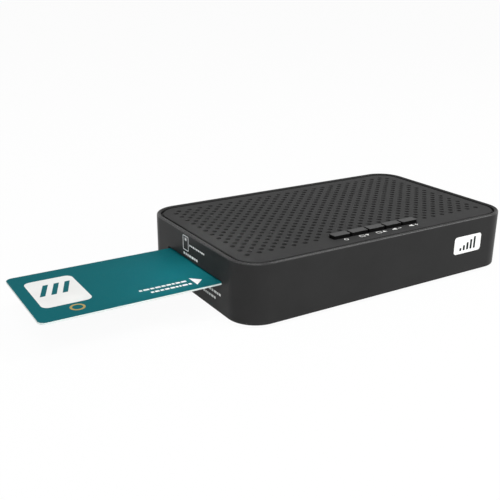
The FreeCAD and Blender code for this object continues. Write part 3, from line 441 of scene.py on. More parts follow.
def fit(
    thing: Thing,
    finish: "Finish",
    *replaced: str,
    body: str = "receiver",
    slot: str = "",
    crease: float = 35.0,
) -> Thing:
    """Brings a finished solid into the frame and dresses it.

    Args:
        thing: Solid, in mm.
        finish: What it is made of.
        replaced: CAD nodes that it stands for.
        body: Body that it rides on.
        slot: Material slot that it would take its finish from; not used.
        crease: Angle in degrees above which an edge looks sharp.

    Returns:
        The piece.
    """
    mesh = bmesh.new()
    mesh.from_mesh(thing.data)
    bmesh.ops.remove_doubles(mesh, verts=mesh.verts, dist=2e-5)
    bmesh.ops.dissolve_degenerate(mesh, dist=1e-5, edges=mesh.edges)
    mesh.transform(Matrix.Scale(MM, 4))
    for face in mesh.faces:
        face.smooth = True
    limit = math.radians(crease)
    for edge in mesh.edges:
        edge.smooth = len(edge.link_faces) == 2 and edge.calc_face_angle(math.pi) < limit
    mesh.to_mesh(thing.data)
    mesh.free()
    thing.modifiers.new("even", "WEIGHTED_NORMAL").keep_sharp = True
    settle(thing)
    if not any(thing.data.materials):
        thing.data.materials.clear()
        thing.data.materials.append(finish.material())
    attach(thing, body)
    slot or finish.slot
    if replaced:
        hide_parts(*replaced)
    log.info("%s: %d faces, on %s", thing.name, len(thing.data.polygons), body)
    return thing


def dress(finish: "Finish", *nodes: str) -> None:
    """Gives CAD nodes whose shape stays their real finish.

    Args:
        finish: What they are made of.
        nodes: Their names.
    """
    for name in nodes:
        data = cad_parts[name].data
        if not data.materials:
            data.materials.append(None)
        for place in range(len(data.materials)):
            data.materials[place] = finish.material()
        log.info("%s: dressed as %s", name, finish.name)


# ---------------------------------------------------------------- geometry trees

SUM = "ShaderNodeMath"
TRUTH = "FunctionNodeBooleanMath"
VECTOR = "ShaderNodeVectorMath"
COMBINE = "ShaderNodeCombineXYZ"
SPLIT = "ShaderNodeSeparateXYZ"
PLACE = "GeometryNodeInputPosition"
MOVE = "GeometryNodeSetPosition"
JOIN = "GeometryNodeJoinGeometry"
REAL = "GeometryNodeRealizeInstances"
COPIES = "GeometryNodeInstanceOnPoints"
CHANCE = "FunctionNodeRandomValue"


def build_tree(name: str, inputs: dict[str, str], rows: list[Row]) -> bpy.types.NodeTree:
    """Builds a geometry tree that ends in real geometry with its material.

    Args:
        name: Name of the tree.
        inputs: Kind of each named input after the geometry.
        rows: Its nodes; the last one gives the geometry.

    Returns:
        The tree.
    """
    tree = bpy.data.node_groups.new(name, "GeometryNodeTree")
    tree.is_modifier = True
    for label, kind in {"Geometry": "Geometry", **inputs, "Material": "Material"}.items():
        tree.interface.new_socket(name=label, in_out="INPUT", socket_type=f"NodeSocket{kind}")
    tree.interface.new_socket(name="Geometry", in_out="OUTPUT", socket_type="NodeSocketGeometry")
    start = add_node(tree, "NodeGroupInput")
    known = {socket.name: socket for socket in start.outputs if socket.name}
    ends: list[Row] = [
        ("real", REAL, {}, {"Geometry": rows[-1][0]}),
        ("dressed", "GeometryNodeSetMaterial", {}, {"Geometry": "real", "Material": "Material"}),
    ]
    made = wire(tree, known, rows + ends)
    add_node(tree, "NodeGroupOutput", {"Geometry": made["dressed"]})
    return tree


def perforation_tree() -> bpy.types.NodeTree:
    """Builds the tree that closes a band of walls with a plate of staggered holes.

    The thing it runs on has the plate's side walls only. Their upper and lower
    edges become the outlines of the two faces, and each hole gets its own wall.

    Returns:
        The tree.
    """
    sizes = ("Middle Y", "Hole Radius", "Edge Round", "Top", "Bottom")
    sizes += ("Pitch X", "Pitch Y", "Bare First Row", "Bare Second Row")
    inputs = dict.fromkeys(sizes, "Float") | dict.fromkeys(("Columns", "Rows", "Hole Sides"), "Int")
    # the grid of places, less every other one and the bare stretch behind the keys
    rows: list[Row] = [("here", PLACE, {}, ()), ("spot", SPLIT, {}, ("here",))]
    for axis, count in (("X", "Columns"), ("Y", "Rows")):
        rows += [
            (f"last {axis}", SUM, "SUBTRACT", (count, 1.0)),
            (f"size {axis}", SUM, "MULTIPLY", (f"Pitch {axis}", f"last {axis}")),
            (f"half {axis}", SUM, "MULTIPLY", (f"size {axis}", 0.5)),
            (f"from {axis}", SUM, "ADD", (f"spot.{axis}", f"half {axis}")),
            (f"steps {axis}", SUM, "DIVIDE", (f"from {axis}", f"Pitch {axis}")),
            (f"place {axis}", SUM, "ROUND", (f"steps {axis}",)),
        ]
    rows += [
        ("grid", "GeometryNodeMeshGrid", {}, ("size X", "size Y", "Columns", "Rows")),
        ("steps", SUM, "ADD", ("place X", "place Y")),
        ("left over", SUM, "MODULO", ("steps", 2.0)),
        ("odd", SUM, "GREATER_THAN", ("left over", 0.5)),
        ("aside", SUM, "ABSOLUTE", ("spot.X",)),
        ("first row", SUM, "LESS_THAN", ("place Y", 0.5)),
        ("first rows", SUM, "LESS_THAN", ("place Y", 1.5)),
        ("near", SUM, "LESS_THAN", ("aside", "Bare First Row")),
        ("nearer", SUM, "LESS_THAN", ("aside", "Bare Second Row")),
        ("bare first", TRUTH, "AND", ("first row", "near")),
        ("bare second", TRUTH, "AND", ("first rows", "nearer")),
        ("bare", TRUTH, "OR", ("bare first", "bare second")),
        ("dropped", TRUTH, "OR", ("odd", "bare")),
        ("kept", "GeometryNodeDeleteGeometry", {"domain": "POINT"}, ("grid", "dropped")),
        ("shift", COMBINE, {}, {"Y": "Middle Y"}),
        ("places", MOVE, {}, {"Geometry": "kept", "Offset": "shift"}),
        # the free edges of the side walls, upper and lower, and the sizes of a hole
        ("faces at edge", "GeometryNodeInputMeshEdgeNeighbors", {}, ()),
        ("free", SUM, "COMPARE", ("faces at edge", 1.0, 0.5)),
        ("heights", SUM, "ADD", ("Top", "Bottom")),
        ("half way", SUM, "MULTIPLY", ("heights", 0.5)),
        ("above", SUM, "GREATER_THAN", ("spot.Z", "half way")),
        ("below", TRUTH, "NOT", ("above",)),
        ("bevel", SUM, "MULTIPLY", ("Edge Round", 0.3)),
        ("mouth radius", SUM, "ADD", ("Hole Radius", "Edge Round")),
        ("turn radius", SUM, "ADD", ("Hole Radius", "bevel")),
        ("bore top", SUM, "SUBTRACT", ("Top", "Edge Round")),
        ("turn top", SUM, "SUBTRACT", ("Top", "bevel")),
    ]
    for face, side, radius, height in (
        ("upper", "above", "mouth radius", "Top"),
        ("lower", "below", "Hole Radius", "Bottom"),
    ):
        circle = {"Resolution": "Hole Sides", "Radius": radius}
        rows += [
            (f"{face} edge", TRUTH, "AND", ("free", side)),
            (f"{face} rim", "GeometryNodeMeshToCurve", {}, ("Geometry", f"{face} edge")),
            (f"{face} circle", "GeometryNodeCurvePrimitiveCircle", {}, circle),
            (f"{face} holes", COPIES, {}, {"Points": "places", "Instance": f"{face} circle"}),
            (f"{face} both", JOIN, {}, ([f"{face} rim", f"{face} holes"],)),
            (f"{face} outlines", REAL, {}, (f"{face} both",)),
            (f"{face} plate", "GeometryNodeFillCurve", {}, (f"{face} outlines",)),
            (f"{face} lift", COMBINE, {}, {"Z": height}),
            (f"{face} face", MOVE, {}, {"Geometry": f"{face} plate", "Offset": f"{face} lift"}),
        ]
    # one hole's wall: a straight bore under two bevels that round its mouth
    bands = (
        ("bore", "Hole Radius", "Hole Radius", "Bottom", "bore top"),
        ("turn", "Hole Radius", "turn radius", "bore top", "turn top"),
        ("mouth", "turn radius", "mouth radius", "turn top", "Top"),
    )
    for band, lower, upper, low, high in bands:
        ring = {"Radius Top": upper, "Radius Bottom": lower, "Depth": f"{band} depth"}
        ring["Vertices"] = "Hole Sides"
        rows += [
            (f"{band} depth", SUM, "SUBTRACT", (high, low)),
            (f"{band} ring", "GeometryNodeMeshCone", {"fill_type": "NONE"}, ring),
            (f"{band} lift", COMBINE, {}, {"Z": low}),
            (f"{band} wall", MOVE, {}, {"Geometry": f"{band} ring", "Offset": f"{band} lift"}),
        ]
    rows += [
        ("wall", JOIN, {}, ([f"{band[0]} wall" for band in bands],)),
        ("all walls", COPIES, {}, {"Points": "places", "Instance": "wall"}),
        ("solid walls", REAL, {}, ("all walls",)),
        ("whole", JOIN, {}, (["Geometry", "upper face", "lower face", "solid walls"],)),
        ("merged", "GeometryNodeMergeByDistance", {}, {"Geometry": "whole", "Distance": 0.002}),
    ]
    return build_tree("staggered_perforation", inputs, rows)


def setting_tree() -> bpy.types.NodeTree:
    """Builds the tree that sets a template out on points, turned by steps.

    Returns:
        The tree.
    """
    inputs = {"Template": "Object", "Turn Step": "Float", "Turns": "Int"}
    inputs |= {"Size Spread": "Float", "Seed": "Int"}
    copies = {"Points": "Geometry", "Instance": "shape.Geometry"}
    return build_tree(
        "set_out",
        inputs,
        [
            ("shape", "GeometryNodeObjectInfo", {}, {"Object": "Template"}),
            ("turns", CHANCE, {"data_type": "INT"}, {"Min": 0, "Max": "Turns", "Seed": "Seed"}),
            ("angle", SUM, "MULTIPLY", ("turns", "Turn Step")),
            ("rotation", COMBINE, {}, {"Z": "angle"}),
            ("least", SUM, "SUBTRACT", (1.0, "Size Spread")),
            ("most", SUM, "ADD", (1.0, "Size Spread")),
            ("size", CHANCE, {"data_type": "FLOAT"}, {2: "least", 3: "most", "Seed": "Seed"}),
            ("copies", COPIES, {}, {**copies, "Rotation": "rotation", "Scale": "size"}),
        ],
    )


def thread_tree() -> bpy.types.NodeTree:
    """Builds the tree that cuts a screw thread into a turned barrel along Y.

    Returns:
        The tree.
    """
    inputs = dict.fromkeys(("Pitch", "Depth", "First", "Last", "Least Radius"), "Float")
    moved = {"Geometry": "Geometry", "Selection": "chosen", "Offset": "offset"}
    return build_tree(
        "screw_thread",
        inputs | {"Axis": "Vector"},
        [
            ("here", PLACE, {}, ()),
            ("from axis", VECTOR, "SUBTRACT", ("here", "Axis")),
            ("across", VECTOR, "MULTIPLY", ("from axis", (1.0, 0.0, 1.0))),
            ("reach", VECTOR, "LENGTH", ("across",)),
            ("outward", VECTOR, "NORMALIZE", ("across",)),
            ("sides", SPLIT, {}, ("across",)),
            ("spot", SPLIT, {}, ("here",)),
            ("angle", SUM, "ARCTAN2", ("sides.Z", "sides.X")),
            ("turn", SUM, "DIVIDE", ("angle", 2 * math.pi)),
            ("pitches", SUM, "DIVIDE", ("spot.Y", "Pitch")),
            ("along", SUM, "SUBTRACT", ("pitches", "turn")),
            ("wave", SUM, "PINGPONG", ("along", 0.5)),
            ("full wave", SUM, "MULTIPLY", ("wave", 2.0)),
            ("flattened", SUM, "SMOOTH_MIN", ("full wave", 0.85, 0.1)),
            ("depth", SUM, "MULTIPLY", ("flattened", "Depth")),
            ("inward", SUM, "MULTIPLY", ("depth", -1.0)),
            ("offset", VECTOR, "SCALE", {0: "outward", "Scale": "inward"}),
            ("outside", SUM, "GREATER_THAN", ("reach", "Least Radius")),
            ("past first", SUM, "GREATER_THAN", ("spot.Y", "First")),
            ("before last", SUM, "LESS_THAN", ("spot.Y", "Last")),
            ("between", SUM, "MULTIPLY", ("past first", "before last")),
            ("chosen", SUM, "MULTIPLY", ("between", "outside")),
            ("cut", MOVE, {}, moved),
        ],
    )


@dataclass
class Setter:
    """Sets a shape out on points with the shared tree."""

    seed: int = 11
    tree: bpy.types.NodeTree = field(default_factory=setting_tree)

    def set_out(
        self,
        name: str,
        template: Thing,
        places: list[Point3],
        finish: "Finish",
        turning: tuple[float, int] = (0.0, 0),
        spread: float = 0.0,
    ) -> Thing:
        """Sets a template out on places and drops it.

        Args:
            name: Name of the result.
            template: Shape around the origin, mm.
            places: Where each copy goes, mm.
            finish: What the copies are made of.
            turning: Angle of one turning step, radians, and the most steps.
            spread: Share by which sizes differ.

        Returns:
            All the copies as one thing, mm.
        """
        data = bpy.data.meshes.new(name)
        data.from_pydata(places, [], [])
        inputs = {"Template": template, "Turn Step": turning[0], "Turns": turning[1]}
        inputs |= {"Size Spread": spread, "Seed": self.seed, "Material": finish.material()}
        thing = run_tree(place_new(name, data), self.tree, inputs)
        bpy.data.objects.remove(template)
        return thing


# ---------------------------------------------------------------- finishes

NOISE = "ShaderNodeTexNoise"
RANGE = "ShaderNodeMapRange"
MIX = "ShaderNodeMix"


class Making(Enum):
    """How a surface was made: the stretch of its grain along X, Y and Z."""

    MOULDED = (1.0, 1.0, 1.0)
    ROLLED = (1.0, 0.08, 1.0)
    TURNED = (0.1, 1.0, 0.1)
    EXTRUDED = (0.06, 1.0, 1.0)
    PRINTED = (1.0, 0.8, 1.0)


@dataclass(frozen=True)
class Finish:
    """A real material, how its surface was made and the slot that it goes by.

    Grain and relief are in mm. Mottle is the share by which the colour drifts
    over a few centimetres, and drift what the roughness does over the grain.
    """

    name: str
    colour: str
    roughness: float
    metallic: float = 0.0
    specular: float = 0.5
    grain: float = 0.3
    relief: float = 0.01
    mottle: float = 0.05
    drift: float = 0.04
    making: Making = Making.MOULDED
    slot: str = "case_black"
    cloud: float = 14.0

    def material(self) -> bpy.types.Material:
        """Makes the material at first use.

        Returns:
            The material.
        """
        made = bpy.data.materials.get(self.name)
        if made is None:
            made = bpy.data.materials.new(self.name)
            made.use_nodes = True
            self.build(made.node_tree)
        return made

    def build(self, tree: bpy.types.NodeTree) -> None:
        """Fills the material's tree with the finish's own nodes."""
        place = add_node(tree, "ShaderNodeTexCoord").outputs["Object"]
        self.surface(tree, {"place": place}, linear(self.colour)[:3])

    def surface(self, tree: bpy.types.NodeTree, known: Sockets, colour: object) -> None:
        """Adds grain, drift of colour and drift of gloss.

        Args:
            tree: The material's tree.
            known: Sockets so far, the place of the pattern among them.
            colour: Base colour, a value or a socket's name.
        """
        read = {"From Min": 0.3, "From Max": 0.7}
        light = {"Value": "broad", "To Min": 1 - self.mottle, "To Max": 1 + self.mottle}
        gloss = {"Value": "fine", "To Min": max(self.roughness - self.drift, 0.0)}
        gloss["To Max"] = min(self.roughness + self.drift, 1.0)
        fine, broad = 1 / (self.grain * MM), 1 / (self.cloud * MM)
        rows = (
            ("lie", "ShaderNodeMapping", {}, {"Vector": "place", "Scale": self.making.value}),
            ("fine", NOISE, {}, {"Vector": "lie", "Scale": fine, "Detail": 3.0}),
            ("broad", NOISE, {}, {"Vector": "lie", "Scale": broad, "Detail": 4.0}),
            ("light", RANGE, {}, {**light, **read}),
            ("tint", VECTOR, "SCALE", {0: colour, "Scale": "light"}),
            ("gloss", RANGE, {}, {**gloss, **read}),
            ("bump", "ShaderNodeBump", {}, {"Height": "fine", "Distance": self.relief * MM}),
        )
        made = wire(tree, known, rows)
        shader = tree.nodes["Principled BSDF"].inputs
        for name, socket in (("Base Color", "tint"), ("Roughness", "gloss"), ("Normal", "bump")):
            tree.links.new(made[socket], shader[name])
        shader["Metallic"].default_value = self.metallic
        shader["Specular IOR Level"].default_value = self.specular


@dataclass(frozen=True)
class BoardFinish(Finish):
    """Glass-fibre board under solder resist, with its copper tracks showing through."""

    cell: float = 9.0
    track: float = 1.6
    copper: str = "#2f7a4a"

    def build(self, tree: bpy.types.NodeTree) -> None:
        """Draws stepped tracks from two square waves that a cell pattern picks from.

        Args:
            tree: The material's tree.
        """
        cells = {"Vector": "place", "Scale": 1 / (self.cell * MM)}
        shades = {"A": linear(self.colour), "B": linear(self.copper)}
        lines = {"Factor": "way", "A": "lines X", "B": "lines Y"}
        place = add_node(tree, "ShaderNodeTexCoord").outputs["Object"]
        rows: list[Row] = [
            ("cells", "ShaderNodeTexVoronoi", {"distance": "CHEBYCHEV"}, cells),
            ("pick", "ShaderNodeSeparateColor", {}, {0: "cells.Color"}),
            ("spot", SPLIT, {}, ("place",)),
        ]
        for axis in "XY":
            rows += [
                (f"scaled {axis}", SUM, "MULTIPLY", (f"spot.{axis}", 1 / (self.track * MM))),
                (f"wave {axis}", SUM, "PINGPONG", (f"scaled {axis}", 0.5)),
                (f"lines {axis}", SUM, "GREATER_THAN", (f"wave {axis}", 0.3)),
            ]
        rows += [
            ("way", SUM, "GREATER_THAN", ("pick", 0.5)),
            ("tracks", MIX, {"data_type": "FLOAT"}, lines),
            ("colour", MIX, {"data_type": "RGBA"}, {"Factor": "tracks", **shades}),
        ]
        self.surface(tree, wire(tree, {"place": place}, rows), "colour")


class Stock:
    """The finishes that the receiver is made of."""

    # moulded ABS from a spark-eroded tool: black and even, dull in the flat and with
    # a thin shine only on its rounded edges
    CASE = Finish(
        "abs_black_spark_grain", "#2c2c2c", 0.34, specular=0.045, grain=0.35, relief=0.006
    )
    # the rim's outer rounding, where the tool's parting line was polished: a soft shine
    EDGE = Finish("abs_black_polished_edge", "#2c2c2c", 0.28, specular=0.27, relief=0.003)
    # the cover's plate from a coarser tool: a shade paler and quite dull
    PLATE = Finish("abs_black_coarse_grain", "#3a3a3a", 0.6, specular=0.03, grain=0.4, relief=0.02)
    # the key tops' finer tool: a little more sheen than the cover
    KEY = Finish("abs_black_satin", "#4a4a4a", 0.45, specular=0.06, relief=0.005, slot="key_black")
    # painted shade: the key's sides take a near black that stands in for the shade on them, smooth
    # and dull
    KEY_SIDE_SHADE = Finish("abs_black_key_side_painted_shade", "#0b0b0b", 0.5, specular=0.04, grain=0.5, relief=0.002)
    # vulcanised rubber: dull, with a soft cloudy bloom
    RUBBER = Finish(
        "rubber_black_moulded", "#191919", 0.82, specular=0.2, grain=0.5, relief=0.02,
        mottle=0.2, slot="rubber_black",
    )
    # zinc plated steel: bluish grey, hazy from the plating bath
    STEEL = Finish(
        "steel_zinc_plated", "#aeb2b6", 0.34, 1.0, grain=0.6, relief=0.004, drift=0.08, slot="steel"
    )
    # tinned sheet: pale and soft, with faint rolling lines along its length
    TIN = Finish(
        "steel_tinned_rolled", "#c3c5c4", 0.3, 1.0, grain=0.5, relief=0.004, drift=0.07,
        making=Making.ROLLED, slot="tinned_steel",
    )
    # glass-fibre board under green solder resist: glossy over the copper's steps
    BOARD = BoardFinish("fibre_board_green_resist", "#0d4426", 0.28, grain=0.8, relief=0.006)
    # glass-filled nylon of the sockets: near black, dull with a dry speckle
    NYLON = Finish(
        "nylon_black_filled", "#1e1e1f", 0.6, specular=0.3, grain=0.25, relief=0.012,
        slot="moulded_black",
    )
    # moulded rear panel: the case's plastic from a plainer tool
    PANEL = Finish(
        "abs_black_plain", "#202021", 0.55, specular=0.2, grain=0.45, relief=0.012,
        slot="panel_black",
    )
    # acetal slides well: smooth, with a waxy sheen
    PLUNGER = Finish(
        "acetal_black", "#232325", 0.36, specular=0.4, grain=0.6, relief=0.004,
        slot="plunger_black",
    )
    # moulded nylon of the switches: mid grey and dry
    SWITCH = Finish("nylon_grey_switch", "#55575a", 0.5, grain=0.4, relief=0.006)
    # gold flash over nickel: warm and fairly sharp
    GOLD = Finish("gold_flash", "#d9a441", 0.24, 1.0, grain=0.5, relief=0.002, slot="gold")
    # bright nickel on turned brass: faint turning marks soften the mirror
    NICKEL = Finish(
        "brass_nickel_plated", "#bdb8ad", 0.2, 1.0, grain=0.35, relief=0.003,
        making=Making.TURNED, slot="nickel",
    )
    # milky plastic round the centre contact: waxy, neither dull nor bright
    INSULATOR = Finish(
        "polyethylene_white", "#e4e2dc", 0.42, grain=0.5, relief=0.004, slot="insulator_white"
    )
    # the same plastic dyed orange, which marks a digital audio socket
    ORANGE = Finish(
        "polyethylene_orange", "#e06a1c", 0.4, grain=0.5, relief=0.004, slot="audio_orange"
    )
    # laminated card: printed film pressed smooth and matt over a white core
    CARD = Finish(
        "pvc_card_teal_print", "#146269", 0.5, specular=0.01, grain=1.2, relief=0.002,
        mottle=0.02, making=Making.PRINTED, slot="card_teal",
    )
    # the core shows at the cut edge: pale and slightly rough from the punch
    CORE = Finish("pvc_card_core", "#cfd8d6", 0.5, grain=0.5, relief=0.003)
    # transfer-moulded epoxy of chips: charcoal, with a fine sandy dullness
    PACKAGE = Finish(
        "epoxy_black_package", "#1a1b1c", 0.5, grain=0.2, relief=0.008, slot="package_black"
    )
    # extruded aluminium, brightened: drawn lines run along the fins
    HEATSINK = Finish(
        "aluminium_extruded", "#b9bcbf", 0.38, 1.0, grain=0.4, relief=0.005,
        making=Making.EXTRUDED,
    )
    # shrunk sleeve: dark blue-black and slightly glossy
    SLEEVE = Finish(
        "capacitor_sleeve_black", "#1b2130", 0.3, grain=0.6, relief=0.003, slot="capacitor_sleeve"
    )
    # the drawn can's bare end: bright, softened by the stamping
    CAP_TOP = Finish(
        "aluminium_can_end", "#c9cbcd", 0.3, 1.0, grain=0.4, relief=0.003, slot="capacitor_sleeve"
    )
    # sintered ferrite: dark grey, dry as slate
    FERRITE = Finish(
        "ferrite_grey_sintered", "#3a3b3c", 0.7, grain=0.2, relief=0.015, slot="ferrite_grey"
    )
    # cast epoxy lens: clear red gloss
    LAMP = Finish("epoxy_red_lens", "#a3150f", 0.15, grain=0.8, relief=0.001, slot="lamp_red")
    # cast epoxy that passes infra-red only: black glass to the eye
    LENS = Finish(
        "epoxy_black_lens", "#120a10", 0.12, grain=0.8, relief=0.001, slot="package_black"
    )
    # fired ceramic of the smallest parts: tan and eggshell dull
    CERAMIC = Finish(
        "ceramic_chip_tan", "#a58a63", 0.5, grain=0.2, relief=0.004, slot="package_black"
    )
    # reflowed solder: bright grey, frosted where it froze
    SOLDER = Finish("solder_ends", "#cfd1d3", 0.3, 1.0, relief=0.004, slot="tinned_steel")
    # screen-printed ink: a flat white film, slightly thin over the grain
    INK = Finish(
        "ink_white_screen_print", "#efefed", 0.55, specular=0.02, grain=0.25, relief=0.004,
        making=Making.PRINTED,
    )
    # the same ink in near black: the bars stay crisp and dull on the label's white
    DARK_INK = Finish(
        "ink_black_label_print", "#22282a", 0.5, specular=0.02, grain=0.25, relief=0.002,
        making=Making.PRINTED,
    )
    # ink mixed to the card's own teal, so the stripes look cut out of the white patch
    TEAL_INK = Finish(
        "ink_teal_print", "#146269", 0.5, specular=0.02, grain=0.25, relief=0.002,
        making=Making.PRINTED,
    )
    # bronze powder ink: a muted gold with no sparkle
    GOLD_INK = Finish(
        "ink_gold_print", "#b09a5e", 0.5, specular=0.05, grain=0.25, relief=0.002,
        making=Making.PRINTED,
    )


# ---------------------------------------------------------------- case


@dataclass
class LowerCase:
    """The moulded tub: wall, rim, floor, bosses, ribs and every opening."""

    half: Point = (82.5, 49.5)
    corner: float = 14.3
    wall: float = 2.0
    bottom: float = 1.5
    floor: float = 3.5
    rim: float = 30.9
    base_round: float = 0.5
    outer_round: float = 0.85
    inner_fall: float = 0.42
    lip: float = 0.12
    board: float = 10.9
    cover: float = 28.4
    cover_bosses: Point = (73.5, 42.0)
    board_bosses: tuple[Point, ...] = ((73.0, 5.0), (-73.0, 33.0), (73.0, -33.0), (-73.0, -35.3))
    feet: Point = (58.0, 37.0)
    label: Point = (52.6, 17.4)
    label_seat: float = 0.1
    slot_half: Point = (27.6, 1.2)
    slot_middle: Point = (-2.0, 16.6)
    rear_half: Point = (66.0, 9.9)
    rear_middle: Point = (0.0, 16.9)
    vent_half: Point = (13.0, 1.2)
    vent_first: Point = (27.0, -23.3)
    vent_pitch: float = 6.4
    vents: int = 8
    rib_half: float = 0.7
    rib_deep: float = 1.6
    rib_sunk: float = 0.5
    front_ribs: tuple[float, ...] = (-55.9, -19.1, 19.1, 55.9)
    right_ribs: Point = (-21.1, 21.1)
    left_ribs: Point = (-33.4, 33.4)

    def outline(self, inset: float) -> list[Point]:
        """Returns the case's outline drawn in by an inset, mm."""
        return rounded(self.half, self.corner, steps=24, inset=inset)

    def corners(self, half: Point) -> list[Point]:
        """Returns the four places that mirror about both middles."""
        return [(x * half[0], y * half[1]) for x in (-1, 1) for y in (-1, 1)]

    def skin(self) -> Thing:
        """Sweeps the tub's section round the outline.

        Returns:
            The shell.
        """
        base, outer, lip = self.base_round, self.outer_round, self.lip
        section = arc((base, self.bottom + base), base, 270, 180, 4)
        section += arc((outer, self.rim - outer), outer, 180, 90, 7)
        low = self.rim - self.inner_fall
        section += [(self.wall - lip, low), (self.wall, low - lip)]
        section += arc((self.wall + base, self.floor + base), base, 180, 270, 3)
        rings = [at_height(self.outline(inset), height) for inset, height in section]
        return raise_solid("lower_case_shell", rings)

    def bosses(self) -> Thing:
        """Makes the bosses and the ribs that the cover and the board sit on.

        Returns:
            All of them as one.
        """
        low = self.floor - 1.0
        parts = [
            lathe("boss", [(wide, low), (wide, self.board - 0.3), (wide - 0.3, self.board)], spot)
            for wide, spots in ((3.7, self.corners(self.cover_bosses)), (3.0, self.board_bosses))
            for spot in spots
        ]
        inside_x, inside_y = self.half[0] - self.wall, self.half[1] - self.wall
        thin, deep, sunk = self.rib_half, self.rib_deep, self.rib_sunk
        ribs = [
            ((x - thin, -inside_y - sunk), (x + thin, -inside_y + deep)) for x in self.front_ribs
        ]
        for y in self.right_ribs:
            ribs.append(((inside_x - deep, y - thin), (inside_x + sunk, y + thin)))
        for y in self.left_ribs:
            ribs.append(((-inside_x - sunk, y - thin), (-inside_x + deep, y + thin)))
        for start, end in ribs:
            parts.append(block("rib", (*start, self.floor - 0.5), (*end, self.cover)))
        return gather("bosses", parts)

    def openings(self) -> Thing:
        """Makes the tools for the slot, the rear opening, the vents and the holes.

        Returns:
            All the tools as one.
        """
        slot = rounded(self.slot_half, 0.4, self.slot_middle, 4)
        rear = rounded(self.rear_half, 0.8, self.rear_middle, 6)
        left, back, past = -self.half[0], self.half[1], self.wall + 0.6
        parts = [
            raise_solid("slot", [[(x, y, z) for y, z in slot] for x in (left - 1, left + past)]),
            push("rear", rear, back - past, back + 1),
        ]
        x, y = self.vent_first
        for row in range(self.vents):
            for side in (-1, 1):
                place = (side * x, y + self.vent_pitch * row)
                vent = rounded(self.vent_half, 1.15, place, 6)
                parts.append(slab("vent", vent, self.bottom - 1, self.floor + 1))
        well = [(3.35, 0.5), (3.35, 1.5), (3.1, 1.75), (3.1, 6.0), (1.7, 6.0), (1.7, 12.0)]
        parts += [lathe("well", well, spot) for spot in self.corners(self.cover_bosses)]
        pilot = [(1.2, 6.5), (1.2, 12.0)]
        parts += [lathe("pilot", pilot, spot, sides=24) for spot in self.board_bosses]
        seat = [(4.15, 0.5), (4.15, 1.9)]
        parts += [lathe("seat", seat, spot) for spot in self.corners(self.feet)]
        label = rounded((9.65, 4.75), 1.65, self.label, 8)
        parts.append(push("label_seat", label, -back - 1, -back + self.label_seat))
        return gather("openings", parts)

    def on_rounding(self, face: bpy.types.MeshPolygon) -> bool:
        """Tells whether a face belongs to the rim's outer rounding.

        Args:
            face: Face of the tub, mm.

        Returns:
            True if it does.
        """
        outward = face.normal.x * face.center.x + face.normal.y * face.center.y > 0
        high = face.center.z > self.rim - self.outer_round
        return outward and high and 0.1 < face.normal.z < 0.96

    def build(self) -> None:
        """Makes the tub, dresses it and puts it in place."""
        shell = carve(carve(self.skin(), self.bosses(), "UNION"), self.openings())
        fit(two_tone(shell, Stock.CASE, Stock.EDGE, self.on_rounding), Stock.CASE, "lower_case")


@dataclass
class TopCover:
    """The perforated plate, its seat flange and the posts under it."""

    case: LowerCase
    flange: float = 2.15
    edge: float = 3.3
    under: float = 28.4
    flange_top: float = 29.2
    top: float = 30.4
    edge_round: float = 0.3
    window_half: Point = (26.65, 2.55)
    window_middle: Point = (0.0, -36.1)
    window_corner: float = 0.9
    pitch: Point = (3.145, 3.232)
    first_row: float = -34.83
    columns: int = 47
    rows: int = 24
    hole: float = 2.62
    hole_round: float = 0.06
    hole_sides: int = 20
    # how far from the middle, in pitches, the two rows behind the keys stay bare
    bare: Point = (9.5, 8.5)

    def walls(self) -> Thing:
        """Makes the plate's side walls and those of the key window, open above and below.

        Returns:
            The walls.
        """
        edge = self.edge_round
        outer = [(self.flange, self.under), (self.flange, self.flange_top)]
        outer += [(self.edge, self.flange_top)]
        outer += arc((self.edge + edge, self.top - edge), edge, 180, 90, 3)
        inner = [(0.0, self.under), *arc((-edge, self.top - edge), edge, 0, 90, 3)]
        window = (self.window_half, self.window_corner, self.window_middle, 8)
        mesh = bmesh.new()
        for rings in (
            [at_height(self.case.outline(inset), height) for inset, height in outer],
            [at_height(rounded(*window, inset), height) for inset, height in inner],
        ):
            join_rings(mesh, [[mesh.verts.new(point) for point in ring] for ring in rings])
        bmesh.ops.remove_doubles(mesh, verts=mesh.verts, dist=1e-4)
        return as_object("top_cover_plate", mesh)

    def build(self) -> None:
        """Makes the cover and its posts, dresses them and puts them in place."""
        inputs = {
            "Pitch X": self.pitch[0],
            "Pitch Y": self.pitch[1],
            "Middle Y": self.first_row + self.pitch[1] * (self.rows - 1) / 2,
            "Columns": self.columns,
            "Rows": self.rows,
            "Hole Radius": self.hole / 2,
            "Edge Round": self.hole_round,
            "Top": self.top,
            "Bottom": self.under,
            "Bare First Row": self.bare[0] * self.pitch[0],
            "Bare Second Row": self.bare[1] * self.pitch[0],
            "Hole Sides": self.hole_sides,
            "Material": Stock.PLATE.material(),
        }
        plate = run_tree(self.walls(), perforation_tree(), inputs)
        mesh = bmesh.new()
        mesh.from_mesh(plate.data)
        bmesh.ops.recalc_face_normals(mesh, faces=mesh.faces)
        mesh.to_mesh(plate.data)
        mesh.free()
        fit(plate, Stock.PLATE, "top_cover", crease=28.0)
        # the housing screws bite into the posts
        profile = [(1.45, 20.0), (1.45, 11.1), (1.65, 10.9), (3.0, 10.9), (3.2, 11.1), (3.2, 29.0)]
        posts = [lathe("post", profile, spot) for spot in self.case.corners(self.case.cover_bosses)]
        fit(gather("top_cover_posts", posts), Stock.PLATE)


